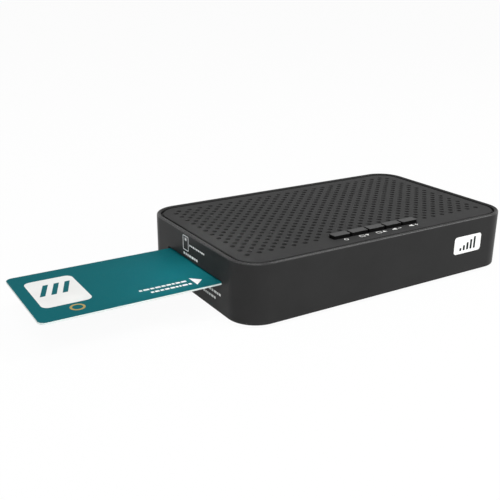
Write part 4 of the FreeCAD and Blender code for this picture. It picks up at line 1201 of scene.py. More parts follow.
@dataclass
class Fastenings:
    """Feet and screws."""

    case: LowerCase
    setter: Setter

    def screw(self, head: float, shank: float, low: float, shoulder: float) -> Thing:
        """Turns a pan-head screw with a cross recess, head upwards.

        Args:
            head: Head radius, mm.
            shank: Shank radius, mm.
            low: Height of the tip from the head's top, mm.
            shoulder: Height of the head's underside from its top, mm.

        Returns:
            The screw with its head's top at the origin, mm.
        """
        profile = [(0.2, low), (shank, low + 1.0), (shank, shoulder), (head, shoulder)]
        profile += [(head, 0.65 * shoulder), (head * 0.86, 0.25 * shoulder)]
        profile += [(head * 0.55, 0.0), (0.3, 0.0)]
        arm, thin, deep = head * 0.52, head * 0.12, 0.6 * shoulder
        cross = [
            block("arm", (-x, -y, deep), (x, y, 1.0)) for x, y in ((arm, thin), (thin, arm))
        ]
        return carve(lathe("screw", profile, sides=32), gather("cross", cross))

    def build(self) -> None:
        """Makes the feet, the housing screws and the board screws."""
        case, turning = self.case, (0.6, 5)
        profile = [(3.2, 0.0), (3.6, 0.08), (3.88, 0.35), (4.0, 0.8), (4.0, 1.9)]
        foot = lathe("foot", profile, sides=40)
        places = [(x, y, 0.0) for x, y in case.corners(case.feet)]
        feet = self.setter.set_out("rubber_feet_moulded", foot, places, Stock.RUBBER)
        fit(feet, Stock.RUBBER, "rubber_feet")
        # the housing screws go in from below, so their heads hang down in the wells
        long = self.screw(2.7, 1.4, -14.6, -1.6)
        long.data.transform(Matrix.Rotation(math.pi, 4, "X"))
        short = self.screw(2.6, 1.15, -6.5, -1.5)
        for name, screw, spots, height in (
            ("housing_screws", long, case.corners(case.cover_bosses), 4.4),
            ("board_screws", short, case.board_bosses, 14.0),
        ):
            places = [(x, y, height) for x, y in spots]
            screws = self.setter.set_out(f"{name}_cross", screw, places, Stock.STEEL, turning)
            fit(screws, Stock.STEEL, name)


# ---------------------------------------------------------------- prints


class Side(Enum):
    """A face that takes prints: a point on it, then its across, up and out."""

    DECK = ((0.0, 0.0, 30.4), (1.0, 0.0, 0.0), (0.0, 1.0, 0.0), (0.0, 0.0, 1.0))
    FRONT = ((0.0, -49.5, 0.0), (1.0, 0.0, 0.0), (0.0, 0.0, 1.0), (0.0, -1.0, 0.0))
    LEFT = ((-82.5, 0.0, 0.0), (0.0, -1.0, 0.0), (0.0, 0.0, 1.0), (-1.0, 0.0, 0.0))
    CARD = ((0.0, 0.0, 16.7), (1.0, 0.0, 0.0), (0.0, 1.0, 0.0), (0.0, 0.0, 1.0))


@dataclass
class Print:
    """Flat signs laid on one face as a film of ink."""

    name: str
    side: Side
    finish: Finish
    level: float = 0.0
    film: float = 0.03
    gap: float = 0.55
    signs: list[Thing] = field(default_factory=list)

    def patch(self, outline: list[Point]) -> None:
        """Adds a filled outline, mm."""
        self.signs.append(slab("sign", outline, self.level, self.level + self.film))

    def bar(self, centre: Point, half: Point) -> None:
        """Adds a bar with softened corners, mm."""
        self.patch(rounded(half, min(*half, 0.4) * 0.6, centre, 3))

    def loop(self, centre: Point, half: Point, radius: float, line: float) -> None:
        """Adds a rounded rectangle drawn as a line.

        Args:
            centre: Its middle, mm.
            half: Half of its outer width and height, mm.
            radius: Outer corner radius, mm.
            line: Width of the line, mm.
        """
        low, high = self.level, self.level + self.film
        rings = [
            at_height(rounded(half, radius, centre, 5, inset), height)
            for inset, height in ((0.0, low), (0.0, high), (line, high), (line, low))
        ]
        self.signs.append(raise_solid("sign", rings, closed=True))

    def bow(self, centre: Point, radius: float, line: float, start: float, end: float) -> None:
        """Adds part of a ring.

        Args:
            centre: Its middle, mm.
            radius: Radius of the line's middle, mm.
            line: Width of the line, mm.
            start: First angle, degrees.
            end: Last angle, degrees.
        """
        outer = arc(centre, radius + line / 2, start, end, 28)
        self.patch(outer + arc(centre, radius - line / 2, end, start, 28))

    def dashes(
        self, draw: random.Random, start: Point, end: float, reach: Point, half_high: float
    ) -> None:
        """Adds a row of dashes of uneven length, as a line of small print reads from afar.

        Args:
            draw: Source of the lengths.
            start: Where the row starts, mm.
            end: Where it has to end, mm.
            reach: Least and most half length of a dash, mm.
            half_high: Half of a dash's height, mm.
        """
        x, y = start
        while x + 2 * reach[0] < end:
            half = min(draw.uniform(*reach), (end - x) / 2)
            self.bar((x + half, y), (half, half_high))
            x += 2 * half + self.gap

    def lay(self) -> None:
        """Lays the film on its face and dresses it."""
        film = gather(self.name, self.signs)
        origin, across, up, out = (Vector(part) for part in self.side.value)
        turn = Matrix((across, up, out)).transposed().to_4x4()
        film.data.transform(Matrix.Translation(origin) @ turn)
        on_card = self.side is Side.CARD
        body, slot = ("card", "card_teal") if on_card else ("receiver", "case_black")
        fit(film, self.finish, body=body, slot=slot)


@dataclass
class CasePrints:
    """Plain signs on the case: at the keys, beside the card slot and on a front label."""

    case: LowerCase
    key_line: float = -40.9
    keys: tuple[float, ...] = (-21.2, -10.2, 0.3, 10.4, 21.4)
    line: float = 0.34
    seed: int = 7

    def key_signs(self) -> None:
        """Prints standby, channel down and up, and volume down and up before the keys."""
        ink = Print("key_signs", Side.DECK, Stock.INK)
        y, line = self.key_line, self.line
        standby, *channels = self.keys
        ink.bow((standby, y), 1.0, line, 125, 415)
        ink.bar((standby, y + 0.85), (line / 2, 0.7))
        for x, way in zip(channels[:2], (-1, 1)):
            ink.loop((x - 1.4, y), (1.5, 1.1), 0.3, line)
            tip = [(x + 0.7, y - 0.8 * way), (x + 3.1, y - 0.8 * way), (x + 1.9, y + 1.0 * way)]
            ink.patch(tip[::way])
        for x, plus in zip(channels[2:], (False, True)):
            near, far = x - 2.9, x - 0.3
            ink.patch([(near, y - 0.25), (far, y - 1.1), (far, y + 1.1), (near, y + 0.25)])
            ink.bar((x + 1.9, y), (1.1, line / 2))
            if plus:
                ink.bar((x + 1.9, y), (line / 2, 1.1))
        ink.lay()

    def slot_signs(self) -> None:
        """Prints a card above the slot and rows of dashes round it."""
        ink = Print("slot_signs", Side.LEFT, Stock.INK)
        ink.loop((-5.6, 25.4), (2.9, 3.75), 0.7, 0.4)
        ink.bar((-5.6, 27.3), (0.9, 0.7))
        draw = random.Random(self.seed)
        ink.dashes(draw, (-1.6, 25.4), 14.5, (0.4, 1.0), 0.42)
        ink.dashes(draw, (-8.2, 19.9), 6.5, (0.6, 1.3), 0.6)
        ink.dashes(draw, (12.0, 10.6), 28.5, (0.5, 1.3), 0.6)
        ink.dashes(draw, (12.0, 7.6), 25.0, (0.5, 1.3), 0.6)
        ink.lay()

    def front_label(self) -> None:
        """Prints a white label with five rising signal bars in the front wall's seat."""
        x, z = self.case.label
        ground = Print("front_label", Side.FRONT, Stock.INK, -self.case.label_seat)
        ground.patch(rounded((9.6, 4.7), 1.6, (x, z), 8))
        ground.lay()
        bars = Print("front_label_bars", Side.FRONT, Stock.DARK_INK, ground.level + ground.film)
        for step in range(5):
            height = 0.8 + 0.6 * step
            bars.bar((x - 5.0 + 2.5 * step, z - 3.1 + height), (0.72, height))
        bars.lay()

    def build(self) -> None:
        """Lays every print of the case."""
        self.key_signs()
        self.slot_signs()
        self.front_label()


# ---------------------------------------------------------------- keys


@dataclass
class KeyRow:
    """Five keys on their switches."""

    keys: tuple[str, ...] = ("standby", "channel_down", "channel_up", "volume_down", "volume_up")
    pitch: float = 10.75
    line: float = -36.1
    stem: Point = (1.5, 1.5)
    cap: Point = (4.8, 2.2)
    flange: Point = (5.175, 3.3)
    stem_foot: float = 22.0
    flange_foot: float = 27.2
    flange_top: float = 28.4
    top: float = 32.0
    corner: float = 0.45
    edge: float = 0.22

    def key(self, name: str, x: float) -> Thing:
        """Makes one key: stem, flange and a flat cap with a fine rounded edge.

        Args:
            name: Name of the object.
            x: Middle of the key along the row, mm.

        Returns:
            The key.
        """
        levels = [
            (self.stem, 0.3, 0.0, self.stem_foot),
            (self.stem, 0.3, 0.0, self.flange_foot),
            (self.flange, 0.6, 0.0, self.flange_foot),
            (self.flange, 0.6, 0.0, self.flange_top),
            (self.cap, self.corner, 0.0, self.flange_top),
        ]
        rounding = arc((self.edge, self.top - self.edge), self.edge, 180, 90, 4)
        levels += [(self.cap, self.corner, inset, height) for inset, height in rounding]
        rings = [
            at_height(rounded(half, radius, (x, self.line), 6, inset), height)
            for half, radius, inset, height in levels
        ]
        key = raise_solid(name, rings)
        # the tops take the key's plastic; the sides take a near black of painted shade
        return two_tone(key, Stock.KEY, Stock.KEY_SIDE_SHADE, lambda face: face.normal.z <= 0.2)

    def build(self) -> None:
        """Makes the keys and their plungers, and dresses the switches."""
        profile = [(1.45, 14.3), (1.7, 14.55), (1.7, 21.8), (1.5, 22.0)]
        for place, key in enumerate(self.keys):
            x, body = self.pitch * (place - 2), f"{key}_button"
            cap = self.key(f"{key}_key_cap", x)
            fit(cap, Stock.KEY, f"{key}_key", body=body, crease=50.0)
            plunger = lathe(f"{key}_plunger_pin", profile, (x, self.line), sides=32)
            fit(plunger, Stock.PLUNGER, f"{key}_plunger", body=body)
        dress(Stock.SWITCH, "tact_switch_bodies")


# ---------------------------------------------------------------- card


@dataclass
class SmartCard:
    """The card as it stands in the reader, and the prints on it."""

    low_corner: Point = (-164.7, -28.99)
    high_corner: Point = (-79.1, 24.99)
    under: float = 15.9
    top: float = 16.7
    corner: float = 3.18
    edge: float = 0.08
    chip_place: Point = (-15.06, 3.1)
    chip_half: Point = (6.5, 5.9)
    chip_corner: float = 1.2
    chip_gap: float = 0.04
    chip_depth: float = 0.25
    pad: float = 0.06
    pads: int = 4
    pad_pitch: float = 2.92
    pad_half: Point = (2.4, 1.37)
    pad_aside: float = 3.95
    bridge_half: Point = (1.35, 5.75)
    arrow: Point = (4.5, 4.25)
    arrow_from_end: float = 8.6
    patch_half: Point = (11.0, 15.5)
    patch_corner: float = 3.2
    stripe_pitch: float = 5.0
    seal: float = 3.3
    seed: int = 3

    @property
    def middle(self) -> Point:
        """Middle of the card, mm."""
        (low_x, low_y), (high_x, high_y) = self.low_corner, self.high_corner
        return (low_x + high_x) / 2, (low_y + high_y) / 2

    @property
    def half(self) -> Point:
        """Half of the card's length and width, mm."""
        (low_x, low_y), (high_x, high_y) = self.low_corner, self.high_corner
        return (high_x - low_x) / 2, (high_y - low_y) / 2

    @property
    def chip_middle(self) -> Point:
        """Middle of the chip module, mm."""
        return self.high_corner[0] + self.chip_place[0], self.middle[1] + self.chip_place[1]

    def laminate(self) -> Thing:
        """Makes the card with a pale core showing round its edge.

        Returns:
            The card.
        """
        low, high, edge = self.under, self.top, self.edge
        rings = [
            at_height(rounded(self.half, self.corner, self.middle, 16, inset), height)
            for inset, height in ((edge, low), (0.0, low + edge), (0.0, high - edge), (edge, high))
        ]
        card = raise_solid("smart_card_laminate", rings)
        corner = self.chip_corner - self.chip_gap
        pocket = rounded(self.chip_half, corner, self.chip_middle, 6, -self.chip_gap)
        carve(card, slab("pocket", pocket, low - 1, low + self.chip_depth))
        return two_tone(card, Stock.CARD, Stock.CORE, lambda face: abs(face.normal.z) <= 0.9)

    def chip(self) -> None:
        """Makes the chip module: a dark carrier with nine gold contacts and fine gaps."""
        x, y = self.chip_middle
        low, high = self.under, self.under + self.chip_depth
        outline = rounded(self.chip_half, self.chip_corner, (x, y), 6)
        carrier = slab("carrier", outline, low + 0.03, high)
        fit(carrier, Stock.PACKAGE, "smart_card_chip", body="card")
        shapes = [(self.bridge_half, (x, y))]
        for side in (-1, 1):
            for row in range(self.pads):
                up = (row - (self.pads - 1) / 2) * self.pad_pitch
                shapes.append((self.pad_half, (x + side * self.pad_aside, y + up)))
        pads = [
            slab("pad", rounded(half, 0.3, spot, 3), low, low + self.pad) for half, spot in shapes
        ]
        fit(gather("card_contacts", pads), Stock.GOLD, body="card")

    def prints(self) -> None:
        """Prints the insertion arrow, two rows of dashes and a striped patch."""
        low_x, low_y = self.low_corner
        tip, middle = self.high_corner[0] - self.arrow_from_end, low_y + 8.5
        long, high = self.arrow
        ink = Print("card_white_print", Side.CARD, Stock.INK)
        ink.patch([(tip - long, middle - high), (tip, middle), (tip - long, middle + high)])
        draw = random.Random(self.seed)
        for row, length in ((middle - 1.9, 20.0), (middle + 1.9, 24.0)):
            ink.dashes(draw, (tip - 6.0 - length, row), tip - 6.0, (0.5, 1.4), 0.75)
        x, y = low_x + 16.5, self.middle[1] + 2.0
        ink.patch(rounded(self.patch_half, self.patch_corner, (x, y), 8))
        ink.lay()
        stripes = Print("card_patch_stripes", Side.CARD, Stock.TEAL_INK, ink.film)
        for step in (-1, 0, 1):
            across, low, high = x + self.stripe_pitch * step, y - 3.0, y + 9.0
            stripe = [(across - 3.6, low), (across - 1.2, low)]
            stripes.patch([*stripe, (across + 3.6, high), (across + 1.2, high)])
        stripes.lay()
        seal = Print("card_gold_seal", Side.CARD, Stock.GOLD_INK)
        seal.loop((x + 2.0, y - 20.6), (self.seal, self.seal), self.seal, 1.0)
        seal.lay()

    def build(self) -> None:
        """Makes the card, its chip module and its prints."""
        fit(self.laminate(), Stock.CARD, "smart_card", body="card", crease=30.0)
        self.chip()
        self.prints()


# ---------------------------------------------------------------- inside and back


@dataclass
class Packages:
    """The large parts on the board, with their leads, ends, flanges and seams."""

    top: float = 12.5
    processor: Point = (4.0, 2.0)
    seam: float = 0.5
    memory: tuple[Point, ...] = ((25.0, 2.0), (4.0, 24.0))
    leads: int = 13
    lead_pitch: float = 0.95
    coils: tuple[Point, ...] = ((44.0, -16.0), (56.0, -16.0))
    crystal: Point = (30.0, 18.0)
    lid: Point = (52.0, 31.0)
    lid_half: Point = (13.0, 14.0)
    lid_foot: float = 24.9
    lid_top: float = 25.3
    switch: Point = (-16.8, 17.24)
    switch_foot: float = 15.85

    def folded(self, x: float, side: int, fold: Iterable[Point], near: float, far: float) -> Thing:
        """Folds a strip of metal from a section at one side of a part, mm."""
        outline = [(x + side * across, self.top + height) for across, height in fold]
        return push("strip", outline, near, far)

    def central_chip(self) -> None:
        """Makes the processor: a moulded cap on a small green board."""
        wide, cap = (9.5, 9.5), (8.4, 8.4)
        steps = [(wide, 0.3, 0.0), (wide, 0.3, self.seam)]
        steps += [(cap, 0.5, self.seam), ((8.1, 8.1), 0.5, 1.4)]
        chip = stack("processor_package", self.processor, self.top, steps)
        brim = self.top + self.seam + 0.01
        two_tone(chip, Stock.BOARD, Stock.PACKAGE, lambda face: face.center.z > brim)
        fit(chip, Stock.PACKAGE, "processor")

    def memory_chips(self) -> None:
        """Makes the memory chips: tapered mouldings with a dimple, and folded leads."""
        foot, wide, face = (2.95, 6.3), (3.05, 6.4), (2.9, 6.25)
        steps = ((foot, 0.2, 0.06), (wide, 0.2, 0.45), (wide, 0.2, 0.55), (face, 0.2, 1.0))
        fold = [(2.9, 0.55), (3.4, 0.55), (3.62, 0.13), (4.0, 0.13)]
        fold += [(4.0, 0.0), (3.53, 0.0), (3.3, 0.42), (2.9, 0.42)]
        dimple = [(0.4, self.top + 0.93), (0.4, self.top + 2.0)]
        bodies, leads = [], []
        for x, y in self.memory:
            body = stack("memory", (x, y), self.top, steps)
            bodies.append(carve(body, lathe("dimple", dimple, (x - 2.1, y - 5.4), sides=20)))
            for side in (-1, 1):
                for place in range(self.leads):
                    middle = y + (place - (self.leads - 1) / 2) * self.lead_pitch
                    leads.append(self.folded(x, side, fold, middle - 0.17, middle + 0.17))
        fit(gather("memory_packages", bodies), Stock.PACKAGE, "memory_chips")
        fit(gather("memory_leads", leads), Stock.SOLDER)

    def inductors(self) -> None:
        """Makes the power inductors: pressed ferrite between two folded ends."""
        wide = (3.3, 3.5)
        steps = (((3.1, 3.3), 0.5, 0.1), (wide, 0.6, 0.3), (wide, 0.6, 3.2), ((2.9, 3.1), 0.5, 3.6))
        cores = [stack("core", spot, self.top, steps) for spot in self.coils]
        fit(gather("inductor_cores", cores), Stock.FERRITE, "inductors")
        fold = ((2.2, 0.0), (3.5, 0.0), (3.5, 1.8), (3.25, 1.8), (3.25, 0.2), (2.2, 0.2))
        ends = [
            self.folded(x, side, fold, y - 1.6, y + 1.6) for x, y in self.coils for side in (-1, 1)
        ]
        fit(gather("inductor_ends", ends), Stock.SOLDER)

    def sheet_parts(self) -> None:
        """Makes the crystal's drawn can and the tuner's pressed lid."""
        steps = [((5.6, 2.3), 2.25, 0.0), ((5.6, 2.3), 2.25, 0.35)]
        steps += [((5.25, 1.95), 1.9, 0.5), ((5.25, 1.95), 1.9, 3.0)]
        steps += [((5.13, 1.83), 1.78, 3.27), ((4.85, 1.55), 1.5, 3.4)]
        fit(stack("crystal_can", self.crystal, self.top, steps), Stock.TIN, "crystal")
        wide, deep = self.lid_half
        high = self.lid_top - self.lid_foot
        steps = [((wide, deep), 0.6, 0.0), ((wide, deep), 0.6, high - 0.12)]
        steps += [((wide - 0.12, deep - 0.12), 0.5, high), ((wide - 2.0, deep - 2.0), 1.0, high)]
        steps += [((wide - 2.2, deep - 2.2), 0.9, high - 0.15)]
        lid = stack("tuner_lid_pressed", self.lid, self.lid_foot, steps)
        bore = [(1.2, self.lid_foot - 1), (1.2, self.lid_top + 1)]
        spots = [(self.lid[0] + x, self.lid[1] + y) for x in (-6.0, 6.0) for y in (-7.0, 0.0, 7.0)]
        carve(lid, gather("holes", [lathe("hole", bore, spot, sides=28) for spot in spots]))
        fit(lid, Stock.TIN, "tuner_lid")

    def detect_switch(self) -> None:
        """Makes the switch that the card's leading end pushes: a case and its lever."""
        foot, wide, face = (1.0, 2.95), (1.1, 3.0), (1.0, 2.9)
        steps = ((foot, 0.2, 0.0), (wide, 0.2, 0.1), (wide, 0.2, 1.1), (face, 0.2, 1.2))
        case = stack("switch", self.switch, self.switch_foot, steps)
        x, y = self.switch
        steps = (((0.4, 0.9), 0.35, 0.35), ((0.4, 0.9), 0.35, 0.85))
        lever = stack("lever", (x - 1.2, y), self.switch_foot, steps)
        fit(gather("card_detect_switch_case", [case, lever]), Stock.NYLON, "card_detect_switch")

    def build(self) -> None:
        """Makes every large part."""
        self.central_chip()
        self.memory_chips()
        self.inductors()
        self.sheet_parts()
        self.detect_switch()


@dataclass
class Board:
    """The main board with its parts."""

    setter: Setter
    top: float = 12.5
    seed: int = 5
    small: int = 170
    grid: float = 1.6
    apart: float = 2.3
    reach_x: float = 74.0
    reach_y: float = 43.0
    capacitors_at: tuple[Point, ...] = (
        (-48.0, -41.0), (-36.0, -41.0), (32.0, -20.0), (56.0, 8.0), (46.0, 8.0), (66.0, 12.0),
    )
    lamp: Point = (48.0, -43.6)
    eye: Point = (62.0, 16.0)
    # low X, low Y, high X and high Y of the stretches that larger parts take up
    kept_clear: tuple[tuple[float, float, float, float], ...] = (
        (-80.5, -33.0, -15.0, 29.0), (-11.5, -13.5, 19.5, 17.5), (19.5, -4.5, 31.0, 9.0),
        (-2.0, 19.0, 10.0, 32.0), (38.0, 16.0, 66.0, 46.0), (27.0, 33.0, 39.0, 46.0),
        (14.5, 32.0, 24.5, 46.0), (-6.0, 36.0, 12.0, 46.0), (-24.0, 34.0, -8.0, 46.0),
        (-45.0, 31.0, -27.0, 46.0), (-61.0, 35.0, -50.0, 46.0), (-26.0, -40.5, 26.0, -32.0),
        (-52.0, -45.0, -32.0, -37.0), (28.0, -24.5, 36.0, -16.0), (42.0, 4.0, 70.0, 16.0),
        (39.5, -20.5, 60.5, -11.5), (23.0, 14.5, 37.0, 21.5), (58.0, -47.0, 66.0, -40.0),
        (45.0, -46.0, 51.0, -41.0), (68.0, 0.0, 79.0, 10.0), (68.0, -46.0, 79.0, -28.0),
        (-79.0, 28.0, -68.0, 46.0), (-79.0, -46.0, -68.0, -30.0), (68.0, 38.0, 79.0, 46.0),
    )

    def free_places(self) -> list[Point3]:
        """Finds places for small parts between the large ones.

        Returns:
            The places on the board, mm.
        """
        draw = random.Random(self.seed)
        places: list[Point3] = []
        while len(places) < self.small:
            x = round(draw.uniform(-self.reach_x, self.reach_x) / self.grid) * self.grid
            y = round(draw.uniform(-self.reach_y, self.reach_y) / self.grid) * self.grid
            if any(a < x < c and b < y < d for a, b, c, d in self.kept_clear):
                continue
            if all(max(abs(x - a), abs(y - b)) > self.apart for a, b, _ in places):
                places.append((x, y, self.top))
        return places

    def small_parts(self) -> None:
        """Sets out the small chip parts with their solder ends."""
        places = self.free_places()
        body = slab("chip", rounded((0.6, 0.4), 0.05, steps=1), 0.02, 0.5)
        ends = [block("end", (x - 0.2, -0.42, 0.0), (x + 0.2, 0.42, 0.52)) for x in (-0.65, 0.65)]
        for name, shape, finish in (
            ("chip_parts", body, Stock.CERAMIC),
            ("chip_part_ends", gather("ends", ends), Stock.SOLDER),
        ):
            parts = self.setter.set_out(name, shape, places, finish, (math.pi / 2, 1), 0.15)
            fit(parts, finish)

    def capacitors(self) -> None:
        """Makes the electrolytic capacitors: a sleeve crimped over an aluminium can."""
        places = [(x, y, self.top) for x, y in self.capacitors_at]
        crimp = [(2.6, 0.0), (3.05, 0.15), (3.15, 0.5), (3.15, 0.9), (2.95, 1.15), (3.15, 1.4)]
        sleeve = lathe("sleeve", [*crimp, (3.15, 7.7), (2.95, 7.95), (2.55, 7.95)], sides=32)
        sleeves = self.setter.set_out("capacitor_sleeves", sleeve, places, Stock.SLEEVE)
        fit(sleeves, Stock.SLEEVE, "capacitors")
        can = lathe("can", [(2.6, 7.8), (2.6, 7.98), (2.4, 8.0), (0.1, 8.0)], sides=32)
        cuts = [block("cut", (-x, -y, 7.9), (x, y, 9.0)) for x, y in ((2.0, 0.09), (0.09, 2.0))]
        carve(can, gather("score", cuts))
        fit(self.setter.set_out("capacitor_ends", can, places, Stock.CAP_TOP), Stock.CAP_TOP)

    def build(self) -> None:
        """Dresses the board and its parts and adds the small ones."""
        for finish, node in (
            (Stock.BOARD, "main_board"),
            (Stock.HEATSINK, "heatsink"),
            (Stock.TIN, "tuner_can"),
            (Stock.STEEL, "card_reader_cover"),
            (Stock.NYLON, "card_reader_base"),
            (Stock.GOLD, "card_reader_contacts"),
        ):
            dress(finish, node)
        self.capacitors()
        self.small_parts()
        profile = [(1.5, 12.5), (1.5, 16.0), (1.3, 16.75), (0.8, 17.3), (0.1, 17.5)]
        fit(lathe("status_lamp_lens", profile, self.lamp, sides=32), Stock.LAMP, "status_lamp")
        eye = push("infrared_eye", rounded((3.0, 3.5), 0.3, self.eye, 3), -45.1, -41.7)
        dome = [(2.5, -45.0), (2.5, -45.3), (2.2, -45.8), (1.6, -46.15), (0.8, -46.3)]
        carve(eye, lathe("dome", dome, self.eye, True, 32), "UNION")
        fit(eye, Stock.LENS, "infrared_receiver")


@dataclass
class RearSockets:
    """The rear panel and every socket that shows through it."""

    setter: Setter
    panel_near: float = 46.7
    panel_face: float = 49.1
    flange: float = 0.8
    flange_half: Point = (67.5, 12.45)
    flange_middle: Point = (0.0, 15.95)
    field_half: Point = (65.8, 9.7)
    field_middle: Point = (0.0, 16.9)
    face: float = 49.5
    lnb: Point = (52.0, 19.5)
    audio: Point = (33.0, 19.5)
    jack: Point = (19.5, 16.0)
    power: Point = (-55.5, 19.0)
    network: Point = (-36.0, 19.2)
    hdmi: Point = (3.0, 15.3)
    usb: Point = (-16.0, 15.45)
    tongue_end: float = 47.9
    thread_pitch: float = 0.794
    thread_depth: float = 0.38
    thread_steps: int = 84
    nut_across: float = 11.1

    def panel(self) -> Thing:
        """Makes the panel: a flange behind the opening and a field that fills it.

        Returns:
            The panel.
        """
        near, face = self.panel_near, self.panel_face
        outline = rounded(self.flange_half, 0.6, self.flange_middle, 4)
        panel = push("rear_panel_moulded", outline, near, near + self.flange)
        rings = [
            at_depth(rounded(self.field_half, 0.8, self.field_middle, 6, inset), depth)
            for inset, depth in [(0.0, near + 0.1), *arc((0.3, face - 0.3), 0.3, 180, 90, 3)]
        ]
        carve(panel, raise_solid("field", rings), "UNION")
        round_holes = ((self.lnb, 5.06), (self.audio, 5.5), (self.jack, 3.3), (self.power, 4.0))
        holes = [
            lathe("hole", [(radius, 46.0), (radius, 50.0)], axis, True)
            for axis, radius in round_holes
        ]
        for spot, half in (
            (self.hdmi, (7.8, 3.1)), (self.usb, (6.85, 3.25)), (self.network, (8.3, 7.0))
        ):
            holes.append(push("hole", rounded(half, 0.25, spot, 4), 46.0, 50.0))
        return carve(panel, gather("holes", holes))

    def barrel(self) -> Thing:
        """Turns the LNB connector's barrel and cuts its thread.

        Returns:
            The barrel.
        """
        first, last, steps = 51.9, 59.45, self.thread_steps
        outside = [(4.61, 45.0), (4.61, 51.8), (4.76, 51.85)]
        outside += [(4.76, first + (last - first) * step / steps) for step in range(steps + 1)]
        outside += [(4.3, 60.0), (3.9, 60.0), (3.6, 59.7), (3.6, 48.0)]
        barrel = lathe("lnb_connector_threaded", outside, self.lnb, True, 56)
        inputs = {
            "Pitch": self.thread_pitch,
            "Depth": self.thread_depth,
            "First": first + 0.05,
            "Last": last - 0.05,
            "Axis": (self.lnb[0], 0.0, self.lnb[1]),
            "Least Radius": 4.5,
            "Material": Stock.NICKEL.material(),
        }
        return run_tree(barrel, thread_tree(), inputs)

    def nut(self) -> Thing:
        """Makes the hexagon nut with its chamfered corners.

        Returns:
            The nut.
        """
        x, z = self.lnb
        reach = self.nut_across / 2 / math.cos(math.pi / 6)
        turns = [math.pi / 3 * corner for corner in range(6)]
        corners = [(x + reach * math.cos(a), z + reach * math.sin(a)) for a in turns]
        hexagon = push("lnb_nut_chamfered", corners, 49.1, 51.3)
        low, high = reach - 0.75, reach + 0.1
        profile = [(low, 49.0), (high, 49.5), (high, 50.9), (low, 51.4)]
        carve(hexagon, lathe("turned", profile, self.lnb, True, 64), "INTERSECT")
        return carve(hexagon, lathe("bore", [(4.8, 48.0), (4.8, 52.5)], self.lnb, True, 56))

    def moulding(
        self, name: str, box: tuple[Point, Point, float], axis: Point, *profiles: list[Point]
    ) -> None:
        """Makes a socket's moulded body: a block with a round nose, and a bore if it has one.

        Args:
            name: CAD node that it stands for.
            box: Middle and half size of the block, and the depth that it starts at, mm.
            axis: X and Z of the nose and the bore, mm.
            profiles: Profile of the nose, then of the bore.
        """
        centre, half, near = box
        outline = rounded(half, 0.35, centre, 3)
        body = push(f"{name}_moulded", outline, near, self.panel_near - 0.2)
        for way, profile in zip(("UNION", "DIFFERENCE"), profiles):
            carve(body, lathe("turned", profile, axis, True), way)
        fit(body, Stock.NYLON, name)

    def round_sockets(self) -> None:
        """Makes the aerial and digital audio sockets, the jack and the power inlet."""
        fit(self.barrel(), Stock.NICKEL, "lnb_connector", crease=40.0)
        fit(self.nut(), Stock.NICKEL, "lnb_connector_nut")
        white = [(3.55, 48.0), (3.55, 58.8), (3.35, 59.0), (0.85, 59.0), (0.6, 58.7), (0.6, 50.0)]
        insulator = lathe("lnb_insulator_turned", white, self.lnb, True)
        fit(insulator, Stock.INSULATOR, "lnb_insulator")
        nose = [(5.2, 45.5), (5.2, 49.9), (5.0, 50.1)]
        self.moulding("digital_audio_body", ((33.0, 18.5), (5.0, 6.0), 34.5), self.audio, nose)
        drawn = [(3.5, 50.1), (4.15, 50.1), (4.15, 57.75), (4.05, 58.0), (3.85, 58.1)]
        drawn += [(3.6, 58.0), (3.5, 57.8)]
        shell = lathe("digital_audio_shell_drawn", drawn, self.audio, True, closed=True)
        fit(shell, Stock.NICKEL, "digital_audio_shell")
        orange = [(3.45, 50.1), (3.45, 57.3), (3.25, 57.5), (1.85, 57.5), (1.6, 57.25), (1.6, 50.4)]
        insulator = lathe("digital_audio_insulator_turned", orange, self.audio, True)
        fit(insulator, Stock.ORANGE, "digital_audio_insulator")
        sleeve = [(1.38, 50.6), (1.6, 50.6), (1.6, 56.8), (1.38, 56.8)]
        contact = lathe("digital_audio_centre_contact", sleeve, self.audio, True, closed=True)
        fit(contact, Stock.NICKEL)
        for name, box, axis, nose, bore in (
            ("av_jack", ((19.5, 16.0), (4.0, 3.5), 33.5), self.jack,
             [(3.0, 45.5), (3.0, 49.25), (2.75, 49.5)], [(1.8, 35.5), (1.8, 49.1), (2.3, 49.6)]),
            ("power_socket", ((-55.5, 18.0), (4.5, 5.5), 36.0), self.power,
             [(3.8, 45.5), (3.8, 49.25), (3.55, 49.5)], [(3.0, 40.0), (3.0, 49.2), (3.3, 49.6)]),
        ):
            self.moulding(name, box, axis, nose, bore)
        profile = [(1.05, 40.0), (1.05, 48.1), (0.85, 48.5), (0.4, 48.7)]
        pin = lathe("power_socket_pin_turned", profile, self.power, True, 32)
        fit(pin, Stock.NICKEL, "power_socket_pin")

    def springs(self, x: float, roof: float) -> list[Thing]:
        """Makes the two springs that bow down from a folded shell's roof.

        Args:
            x: Middle of the shell, mm.
            roof: Height of the roof's underside, mm.

        Returns:
            The springs, in mm.
        """
        section = ((-0.8, 0.0), (0.8, 0.0), (0.8, 0.12), (-0.8, 0.12))
        return [
            raise_solid(
                "spring",
                [
                    [(x + side * 3.4 + across, y, roof - drop - thin) for across, thin in section]
                    for y, drop in ((49.0, 0.0), (47.2, 0.42), (44.0, 0.0))
                ],
            )
            for side in (-1, 1)
        ]

